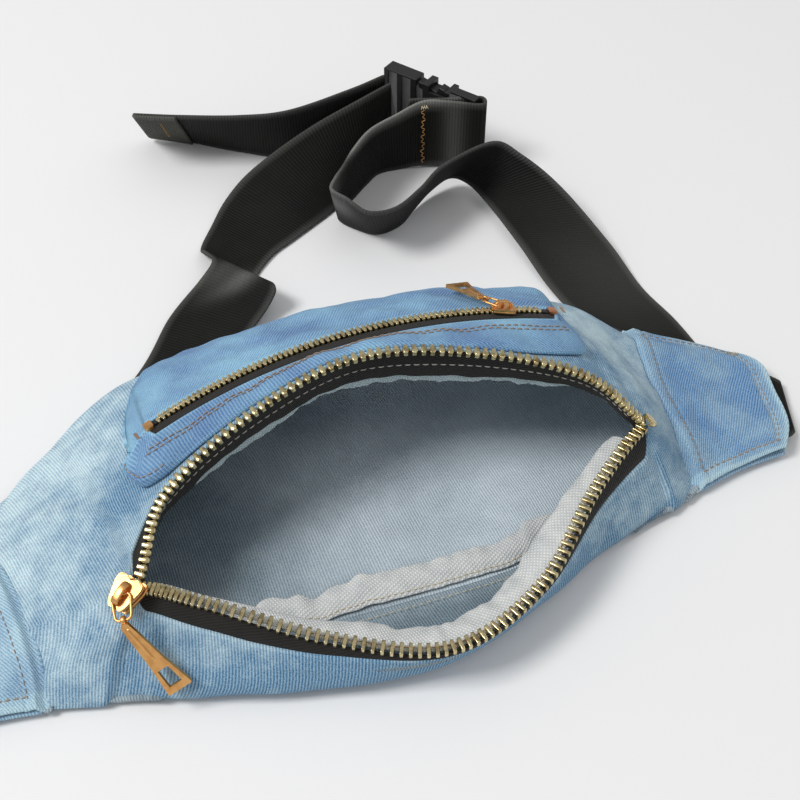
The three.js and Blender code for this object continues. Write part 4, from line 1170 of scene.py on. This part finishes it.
def pocket_half(lower):
    columns = 460
    s = np.linspace(0, 1, columns)
    s = mix(s, 0.5 - 0.5 * np.cos(math.pi * s), 0.55)
    t = np.linspace(0, 1, 56 if lower else 90)
    u0 = mix(*POCKET_AT_ZIP, s)
    u1 = mix(*(POCKET_LOW if lower else POCKET_HIGH), s)
    z = (u0 - ZIP_U[0]) / (ZIP_U[1] - ZIP_U[0])
    degrees = ZIP_LEFT + (ZIP_RIGHT - ZIP_LEFT) * z
    beyond = np.maximum(np.maximum(-z, z - 1), 0)
    slit = SLIT * (1 - smooth(0.0, 0.014, beyond)) * (-1 if lower else 0.66)
    edge = on_track(degrees, slit, 0.35)
    trial = np.linspace(0, 0.95, 190)
    skin = front_skin(u0[:, None], trial[None, :])
    v0 = trial[np.argmin(np.linalg.norm(skin - edge[:, None], axis=-1), axis=1)]
    v0 = np.convolve(np.pad(v0, 8, mode="edge"), np.ones(17) / 17, mode="valid")
    resting = lifted(u0, v0, 1.6)
    edge = mix(edge, resting, smooth(0.01, 0.05, beyond)[:, None])
    q = np.maximum(1 - np.abs(2 * s - 1) ** 11, 0) ** (1 / 3.0)
    if lower:
        v1 = np.interp(s, [0, 0.03, 0.07, 0.13, 0.25, 0.5, 0.72, 0.8, 0.88, 0.95, 1],
                       [0.27, 0.2, 0.12, 0.06, 0.026, 0.02, 0.022, 0.045, 0.1, 0.15, 0.2])
    else:
        v1 = np.interp(s, [0, 0.1, 0.2, 0.35, 0.55, 1], [0.56, 0.64, 0.71, 0.82, 0.88, 0.88])
    v1 = np.convolve(np.pad(v1, 10, mode="edge"), np.ones(21) / 21, mode="valid")
    v1 = v0 + (v1 - v0) * q
    v = mix(v0[:, None], v1[:, None], t[None, :])
    uu = mix(u0[:, None], mix(u0, u1, q)[:, None], t[None, :])
    n = front_normal(uu, v)
    body_height = (2.4 if lower else 3.0) * q[:, None] ** 0.5
    height = 0.3 + body_height * np.maximum(1 - t[None, :] ** 6, 0) ** 0.5
    g = front_skin(uu, v) + n * height[..., None]
    g = g + (edge - g[:, 0])[:, None] * ((1 - t) ** (1.5 if lower else 2.2))[None, :, None]
    h = 0.3 * waves(g, 26, 41) + 0.2 * waves(g, 12, 42)
    if lower:
        h += ridge(g, (-68, 4, 44), (-34, 12, 58), 2.6, 1.0) - ridge(g, (-66, 0, 43), (-40, 9, 53), 2.4, 0.9)
        h += ridge(g, (56, 8, 60), (80, 0, 52), 3.0, 0.8) - ridge(g, (60, 14, 58), (78, 8, 53), 2.0, 0.5)
    h += ridge(g, (-76, 10, 40), (-68, 30, 38), 2.4, 1.3) - ridge(g, (-72, 12, 42), (-64, 14, 46), 1.6, 1.2)
    inner = np.minimum(smooth(0, 0.16, t)[None, :], 1 - smooth(0.93, 1, t)[None, :])
    g = g + n * (h * inner * q[:, None])[..., None]
    roll = np.exp(-(((t - 0.93) / 0.045) ** 2))[None, :] * (1 - smooth(0.1, 0.16, s))[:, None]
    g = g + n * (0.8 * roll)[..., None]
    hem = smooth(0.94, 0.99, t)[None, :] * (0.5 + 0.5 * smooth(0.12, 0.05, s) + 0.5 * smooth(0.8, 0.9, s))[:, None]
    rim = 1 - smooth(0.01, 0.05, t)[None, :]
    wash_and_painted_light = 0.26 + 0.3 * hem + 0.4 * rim + 0.12 * waves(g, 30, 43) + 0.25 * blob(g, (-74, 20, 38), 8)
    wash_and_painted_light = wash_and_painted_light + (0.04 if lower else 0.12) + 0.4 * (1 - smooth(0, 0.03, s))[:, None]
    name = "pocket_lower_cloth" if lower else "pocket_upper_cloth"
    stands = ["pocket_lower", "pocket_end_left"] if lower else ["pocket_upper", "pocket_end_right"]
    sheet_object(name, g, 1.2, DENIM_POCKET, wash_and_painted_light=wash_and_painted_light, facing=UP, replaces=stands,
                 slot="denim_deep")
    n = grid_normals(g)
    return g, n * np.sign(n[columns // 2, 20] @ vec(0, 0, 1)), s


def pocket():
    pocket_half(False)
    g, n, s = pocket_half(True)
    rows = np.arange(len(s), dtype=float)
    keep = rows[(s > 0.06) & (s < 0.955)]
    for k, j in enumerate((16.0, 22.5)):
        drift = j + 0.5 * np.sin(keep * 0.05 + k)
        stitches(f"pocket_stitch_{k}", grid_line(g, keep, drift), grid_line(n, keep, drift),
                 THREAD_TAN, 2.6, 2.1, 0.24, lift=0.12)
    keep = rows[(s > 0.004) & (s < 0.13)]
    stitches("pocket_corner_stitch", grid_line(g, keep, 47.0 + 0 * keep), grid_line(n, keep, 47.0 + 0 * keep),
             THREAD_TAN, 2.4, 1.8, 0.24, lift=0.12)
    for k, (d, y0) in enumerate(((ZIP_LEFT + 1.25, -4.6), (ZIP_RIGHT - 0.9, -2.4))):
        y = np.linspace(y0, y0 + 4.6, 40)
        normal = np.repeat(turn(track_up, np.array([d])), 40, axis=0)
        stitches(f"pocket_tack_{k}", on_track(d, y, 1.5 + 0 * y), normal, THREAD_TAN, 0.5, 0.4, 0.2, 0.0,
                 lift=0.0, sideways=0.6)


pocket()


def pocket_zip():
    for side, name in ((-1, "lower"), (1, "upper")):
        u, v = lattice(200, 8)
        degrees = ZIP_LEFT + 0.4 + (ZIP_RIGHT - ZIP_LEFT - 0.8) * u
        g = on_track(degrees, side * (0.9 + (6.5 if side < 0 else 4.6) * v), -0.1 - 1.5 * smooth(0.6, 1, v))
        sheet_object(f"pocket_tape_{name}_cloth", g, 0.6, TAPE, facing=UP, replaces=[f"pocket_tape_{name}"],
                     slot="tape")
        phase = 0.0 if side < 0 else 0.28

        def along_zip(u):
            return ZIP_LEFT - 0.7 - phase + (ZIP_RIGHT - ZIP_LEFT + 1.6 + 2 * phase) * np.asarray(u, float)

        row_of_teeth(f"pocket_teeth_{name}_row", lambda u: on_track(along_zip(u), side * 2.2 + 1.3, 0.1),
                     lambda u: turn(track_side, along_zip(u)) * -side, lambda u: turn(track_up, along_zip(u)),
                     POCKET_TEETH, tooth_shape(0.95, 2.6, 1.8, -0.2, 1.1), 0.03, 51 + side, [f"pocket_teeth_{name}"])


pocket_zip()


# ---- metal fittings ----
def rounded(points, radius, each=7):
    """A closed outline with its corners rounded."""
    p = np.array(points, float)
    out = []
    for k in range(len(p)):
        a, b, c = p[k - 1], p[k], p[(k + 1) % len(p)]
        r = min(radius, 0.45 * np.linalg.norm(a - b), 0.45 * np.linalg.norm(c - b))
        s, e = b + unit(a - b) * r, b + unit(c - b) * r
        t = np.linspace(0, 1, each)[:, None]
        out.append((1 - t) ** 2 * s + 2 * t * (1 - t) * b + t**2 * e)
    return np.vstack(out)


def cut_plate(outline, holes, thickness, bevel):
    """A flat plate with bevelled edges and holes, as points and faces."""
    bm = bmesh.new()
    edges = []
    for loop in [outline, *holes]:
        vs = [bm.verts.new((x, y, -thickness / 2)) for x, y in loop]
        edges += [bm.edges.new(pair) for pair in zip(vs, vs[1:] + vs[:1])]
    bmesh.ops.triangle_fill(bm, use_beauty=True, edges=edges)
    top = bmesh.ops.extrude_face_region(bm, geom=list(bm.faces))
    bmesh.ops.translate(bm, verts=[v for v in top["geom"] if isinstance(v, bmesh.types.BMVert)], vec=(0, 0, thickness))
    bmesh.ops.recalc_face_normals(bm, faces=bm.faces)
    sharp = [e for e in bm.edges if e.is_manifold and e.calc_face_angle(0) > 1.2]
    bmesh.ops.bevel(bm, geom=sharp, offset=bevel, segments=3, profile=0.5, affect="EDGES", clamp_overlap=True)
    bm.verts.index_update()
    return taken(bm)


def sweep(path, up, wide, thick, sides=14, power=2.0, closed=False):
    """A bar of rounded section along a path; wide and thick are its half sizes."""
    p = np.array(path, float)
    step = np.roll(p, -1, 0) - np.roll(p, 1, 0) if closed else np.gradient(p, axis=0)
    t = unit(step)
    up = np.broadcast_to(np.array(up, float), p.shape)
    side = unit(np.cross(t, up))
    up = np.cross(side, t)
    a = 2 * math.pi * np.arange(sides) / sides
    c, q = (np.sign(f) * np.abs(f) ** (2 / power) for f in (np.cos(a), np.sin(a)))
    verts = p[:, None] + side[:, None] * (c * wide)[None, :, None] + up[:, None] * (q * thick)[None, :, None]
    n = len(p)
    faces = []
    for k in range(n if closed else n - 1):
        for j in range(sides):
            m, l = (k + 1) % n, (j + 1) % sides
            faces.append([k * sides + j, k * sides + l, m * sides + l, m * sides + j])
    if not closed:
        faces += [list(range(sides))[::-1], [(n - 1) * sides + j for j in range(sides)]]
    return verts.reshape(-1, 3), faces


def fitting(name, parts, at, along, up, material, **where):
    """A metal piece from parts given in its own frame: x along it, z away from the bag."""
    x = unit(along)
    y = unit(np.cross(up, x))
    axes = np.stack([x, y, np.cross(x, y)])
    verts, faces, count = [], [], 0
    for v, f in parts:
        verts.append(v @ axes + at)
        faces += [[i + count for i in face] for face in f]
        count += len(v)
    obj = place(name, loose_mesh(name, np.vstack(verts), faces), material, slot="gold", **where)
    obj.modifiers.new("even", "WEIGHTED_NORMAL").keep_sharp = True
    return obj


PLATE, GAP, BRIDGE = 1.1, 3.4, 2.6  # a full-size slider's plate, the gap between its plates, and its bridge


def slider_parts(k):
    """Slider body of scale k: two plates with notched shoulders, a wedge between, side rails and a bridge."""
    half = [(-5.5, 2.4), (-4.6, 3.1), (-1.2, 3.8), (2.6, 4.8), (4.7, 4.6), (5.5, 3.0), (5.0, 1.2)]
    one, two = [(x * k, -y * k) for x, y in half], [(x * k, y * k) for x, y in half[::-1]]
    outline = rounded([*one, (4.1 * k, 0), *two], 1.3 * k)
    top_verts, top_faces = cut_plate(outline, [], PLATE * k, 0.3 * k)
    dome = 0.5 * k * np.clip(1 - (top_verts[:, 0] / (7 * k)) ** 2 - (top_verts[:, 1] / (5.2 * k)) ** 2, 0, 1)
    lift = (GAP + PLATE) / 2 * k
    top = top_verts + np.stack([0 * dome, 0 * dome, lift + dome], axis=-1)
    low = top_verts * vec(1, 1, -1) - np.stack([0 * dome, 0 * dome, lift + 0 * dome], axis=-1)
    post = cut_plate(rounded([(1.8 * k, 0), (3.4 * k, -0.9 * k), (4.4 * k, 0), (3.4 * k, 0.9 * k)], 0.3 * k), [],
                     (GAP + PLATE) * k, 0.1 * k)
    parts = [(top, top_faces), (low, top_faces), post]
    for side in (-1, 1):
        for end in (-1, 1):
            rail = curve([(-5.0, 2.5 * side, 0), (-1.2, 3.5 * side, 0), (2.4, 4.4 * side, 0), (4.4, 4.3 * side, 0)])
            line = rail(np.linspace(0, 1, 24)) * k + vec(0, 0, end * (GAP / 2 - 0.35) * k)
            parts.append(sweep(line, (0, 0, 1), 0.42 * k, 0.62 * k, 10, 3))
    base = (GAP / 2 + PLATE) * k
    arch = curve([(-4.1, 0, -0.3), (-4.0, 0, 1.1), (-3.3, 0, 2.2), (-1.8, 0, 2.6), (0.6, 0, 2.6), (2.2, 0, 2.1),
                  (3.0, 0, 1.0), (3.1, 0, -0.3)])
    parts.append(sweep(arch(np.linspace(0, 1, 44)) * k + vec(0, 0, base), (0, 1, 0), 0.42 * k, 1.25 * k, 16, 3.2))
    return parts


def link_parts(length, width, wire):
    loop = rounded([(0, -width / 2 + wire / 2), (length - wire / 2, -width * 0.42 + wire / 2),
                    (length - wire / 2, width * 0.42 - wire / 2), (0, width / 2 - wire / 2)], 1.7, 9)
    return [sweep(np.column_stack([loop, 0 * loop[:, 0]]), (0, 0, 1), wire * 0.52, wire * 0.52, 12, closed=True)]


def puller_parts(length, root, tip, thickness, slot):
    outline = rounded([
        (-0.4, -root * 0.3), (length * 0.16, -root * 0.42), (length * 0.55, -root * 0.62), (length - 0.3, -tip / 2),
        (length, -tip / 2 + 0.5), (length, tip / 2 - 0.5), (length - 0.3, tip / 2), (length * 0.55, root * 0.62),
        (length * 0.16, root * 0.42), (-0.4, root * 0.3)], 1.0)
    hole = rounded([(length - slot - 2.4, -tip * 0.22), (length - 2.4, -tip * 0.27), (length - 2.4, tip * 0.27),
                    (length - slot - 2.4, tip * 0.22)], 0.5)
    plate = cut_plate(outline, [hole], thickness, 0.26)
    spine = np.stack([np.linspace(1.5, length * 0.52, 20), np.zeros(20), np.full(20, thickness * 0.42)], axis=-1)
    return [plate, sweep(spine, (0, 0, 1), root * 0.16, 0.3, 10)]


def knuckle_parts(radius, wire):
    a = 2 * math.pi * np.arange(28) / 28
    circle = np.stack([np.cos(a) * radius, 0 * a, np.sin(a) * radius], axis=-1)
    return [sweep(circle, (0, 1, 0), wire, wire * 2.2, 12, 2.6, closed=True)]


def zip_pull(prefix, at, along, up, scale, link, link_dir, pull_dir, pull_up, plate, window_shift):
    """Slider, link and puller: the slider stays with the zip, the other two swing.

    link is its length, width and wire; plate is the puller's length, root, tip, thickness and window;
    window_shift is how far the link's bar stands from the slider's middle.
    """
    bar_at = at + unit(up) * scale * (GAP / 2 + PLATE + BRIDGE * 0.36) + unit(along) * window_shift
    body = {"main": "bag", "pocket": "pocket_slider"}[prefix]
    fitting(f"{prefix}_slider_metal", slider_parts(scale), at, along, up, GOLD, body=body,
            replaces=[f"{prefix}_slider"])
    fitting(f"{prefix}_link_metal", link_parts(*link), bar_at, link_dir, up, GOLD, body=f"{prefix}_link",
            replaces=[f"{prefix}_link"])
    root = bar_at + unit(link_dir) * (link[0] + (1.0 if prefix == "main" else 1.35))
    knuckle = bar_at + unit(link_dir) * (link[0] - link[2] / 2)
    fitting(f"{prefix}_puller_metal", puller_parts(*plate), root, pull_dir, pull_up, GOLD,
            body=f"{prefix}_puller", replaces=[f"{prefix}_puller"])
    fitting(f"{prefix}_puller_eye", knuckle_parts(1.15 if prefix == "main" else 0.95, 0.34), knuckle, link_dir, pull_up,
            GOLD, body=f"{prefix}_puller")


main_up, main_along = unit(vec(-0.31, -0.3, 0.9)), vec(0.74, 0.517, 0.428)
zip_pull("main", vec(-84.6, -30.2, 32.6), main_along, main_up, 1.0, (8.6, 7.2, 0.9), vec(-0.16, -0.92, -0.36),
         vec(0.4, -0.56, -0.725), vec(-0.3, -0.85, 0.45), (27.5, 4.4, 9, 1.3, 6.5), -0.8 * np.linalg.norm(main_along))

PARKED = np.array([-13.9])  # where the pocket slider rests, in degrees along its zip
pocket_at = on_track(PARKED, 0, 0)[0]
px, pz = turn(track_along, PARKED)[0], turn(track_up, PARKED)[0]
pocket_axes = np.stack([px, np.cross(pz, px), pz])
zip_pull("pocket", pocket_at, px, pz, 0.8, (7, 5.6, 0.7), vec(-0.77, 0.64, 0.08) @ pocket_axes,
         vec(-0.22, 0.96, -0.13) @ pocket_axes, pz, (20, 4.2, 9, 1.2, 6), -0.6)


def clamp_parts(length, width, height):
    """A zip stop: a bent strip of metal with rounded ends, gripping the tape."""
    plate, faces = cut_plate(rounded([(-length / 2, -width / 2), (length / 2, -width / 2), (length / 2, width / 2),
                                      (-length / 2, width / 2)], 0.7), [], height * 0.4, 0.2)
    plate[:, 2] += height * 0.3 - 0.05 * plate[:, 1] ** 2
    parts = [(plate, faces)]
    for side in (-1, 1):
        line = np.linspace((-length / 2 + 0.3, side * width * 0.42, 0), (length / 2 - 0.3, side * width * 0.42, 0), 8)
        parts.append(sweep(line, (0, 0, 1), 0.4, height * 0.4, 10, 3))
    return parts


for key, degrees, material in (("bottom", ZIP_LEFT, GOLD), ("top", ZIP_RIGHT, RED_GOLD)):
    d = np.array([degrees])
    fitting(f"pocket_{key}_stop_metal", clamp_parts(3.0, 4.8, 2.2), on_track(d, 0.4, 0.4)[0],
            turn(track_along, d)[0], turn(track_up, d)[0], material, replaces=[f"pocket_{key}_stop"])
fitting("main_top_stop_metal", clamp_parts(3.4, 5.0, 2.4), vec(100.4, -28.8, 34.6), vec(0.7, 0, -0.6),
        vec(0.5, 0, 0.8), BRASS, replaces=["main_top_stop"])


# ---- wings ----
seam_line = curve([
    [119.8, -42.6, 4.4], [119.0, -26.5, 14.5], [122, -1, 15.7], [129, 23, 14.6], [134.2, 37.5, 5.4],
])
tip_line = curve([
    [156.5, -39.2, 5], [163.4, -29, 6.6], [167.4, -14, 6.9], [170, -1.5, 6.6], [165.5, 10.5, 5],
])
WING_REST = 2.4  # height of the wings' lower cloth off the floor


def wing_grid(na, nb, start=0.0):
    a, b = lattice(na, nb, start)
    seam, tip = seam_line(b), tip_line(b)
    p = mix(seam, tip, a[..., None])
    fall = np.power(1 - np.maximum(a, 0), 1.5)
    p[..., 2] = tip[..., 2] + (seam[..., 2] - tip[..., 2]) * fall
    p[..., 1] += 2.2 * np.sin(math.pi * a) * (1 - b) * 0.6
    return a, b, p


def wings():
    """A front and a back cloth on each side; a runs 0 to 1 from the seam to the tip, b from near to far."""
    rows, columns, under = 130, 150, 0.07
    length, near_side, far_side = 46, 78, 60
    for side, name in ((1, "right"), (-1, "left")):
        a, b, p = wing_grid(rows, columns, -under)
        middle = 1 - np.abs(2 * b - 1) ** 8
        p[..., 2] = np.maximum(p[..., 2], WING_REST + 2 * 1.6 + 0.35 + 2.3 * middle)
        border = np.minimum.reduce([(1 - a) * length, b * near_side, (1 - b) * far_side])
        seam_side = a * length
        hem = 1 - smooth(4.2, 5.6, border)
        h = 0.55 * hem - 0.35 * np.exp(-((border - 5.4) / 0.7) ** 2) - 0.35 * np.exp(-((seam_side - 4.6) / 0.7) ** 2)
        h += 0.35 * waves(p, 30, 61 + side) + 0.15 * waves(p, 12, 63 + side)
        h *= smooth(0, 0.02, a)
        p[..., 2] += h - 1.9 * (1 - smooth(-0.05, 0.012, a))
        wash_and_painted_light = 0.2 + 0.2 * hem + 0.75 * np.exp(-(border / 1.5) ** 2) + 0.16 * np.exp(-(seam_side / 3.4) ** 2)
        wash_and_painted_light += 0.22 * np.exp(-((border - 5.2) / 1.3) ** 2) + 0.12 * waves(p, 26, 65 + side)
        wash_and_painted_light += 0.3 if side < 0 else 0
        p[..., 0] *= side
        n = grid_normals(p)
        n = n * np.sign(n[60, 70, 2])
        sheet_object(f"wing_front_{name}_cloth", p, 1.5, DENIM_WING, wash_and_painted_light=wash_and_painted_light, facing=UP,
                     replaces=[f"wing_front_{name}"], slot="denim")
        row = lambda share: (rows - 1) * (share + under) / (1 + under)
        for k, inset in enumerate((4.4, 5.6)):
            last = columns - 1
            near, far, tip = last * inset / near_side, last - last * inset / far_side, row(1 - inset / length)
            paths = {
                "tip": (np.full(200, tip), np.linspace(near + 1, far - 1, 200)),
                "near": (np.linspace(row(0.1), tip, 200), np.full(200, near)),
                "far": (np.linspace(row(0.1), tip, 200), np.full(200, far)),
            }
            if k == 0:
                paths["seam"] = (np.full(200, row(0.075)), np.linspace(near, far, 200))
            for key, (i, j) in paths.items():
                stitches(f"wing_{name}_{key}_stitch_{k}", grid_line(p, i, j), grid_line(n, i, j),
                         THREAD_TAN if k == 0 else THREAD_GREY, 2.6, 2.0, 0.2, lift=0.06)
        if side > 0:
            i, j = np.linspace(row(0.86), row(0.93), 30), np.linspace(138, 133, 30)
            stitches("wing_right_tack", grid_line(p, i, j), grid_line(n, i, j), THREAD_CREAM, 0.5, 0.5, 0.25,
                     lift=0.15, sideways=1.0)
        a, b, p = wing_grid(60, 70)
        p[..., 0] += 0.3 * (1 - a)
        p[..., 2] = WING_REST + 1.5
        p[..., 0] *= side
        sheet_object(f"wing_back_{name}_cloth", p, 1.4, DENIM_WING, wash_and_painted_light=0.45 + 0 * a, facing=UP,
                     replaces=[f"wing_back_{name}"], slot="denim")


wings()


# ---- buckle, on the frame's own nodes ----
def refine(node, material, bevel):
    obj = NODES[node]
    obj.data.materials.clear()
    obj.data.materials.append(material)
    weld = obj.modifiers.new("weld", "WELD")
    weld.merge_threshold = 2e-6
    soft = obj.modifiers.new("edges", "BEVEL")
    soft.width = bevel * MM
    soft.segments = 3
    soft.limit_method = "ANGLE"
    soft.angle_limit = math.radians(28)
    soft.harden_normals = True


for key in (*BUCKLE, "buckle_female"):
    refine(key, PLASTIC, 0.5)

# ---- floor, light and end ----
floor_mesh = bpy.data.meshes.new("floor")
floor_mesh.from_pydata([(-3, -3, 0), (3, -3, 0), (3, 3, 0), (-3, 3, 0)], [], [(0, 1, 2, 3)])
floor = bpy.data.objects.new("floor", floor_mesh)
bpy.context.scene.collection.objects.link(floor)
paper = Graph("floor_paper")
paper.set(Base_Color=srgb(240, 240, 240), Roughness=0.9, Specular_IOR_Level=0.1)
floor_mesh.materials.append(paper.material)

world = bpy.data.worlds.new("studio")
bpy.context.scene.world = world
world.use_nodes = True
world.node_tree.nodes["Background"].inputs[0].default_value = (1, 1, 1, 1)
world.node_tree.nodes["Background"].inputs[1].default_value = 0.46


def area(name, location, target, size, power):
    light = bpy.data.lights.new(name, "AREA")
    light.shape = "RECTANGLE"
    light.size, light.size_y = size
    light.energy = power
    obj = bpy.data.objects.new(name, light)
    bpy.context.scene.collection.objects.link(obj)
    obj.location = location
    obj.rotation_euler = (Vector(target) - Vector(location)).to_track_quat("-Z", "Y").to_euler()


area("key", (-1.45, 0.12, 2.05), (0, 0, 0), (0.8, 0.8), 38)
area("fill", (0.9, -1.0, 2.2), (0, 0, 0), (1.6, 1.2), 5)
bpy.context.scene.view_settings.view_transform = "Standard"
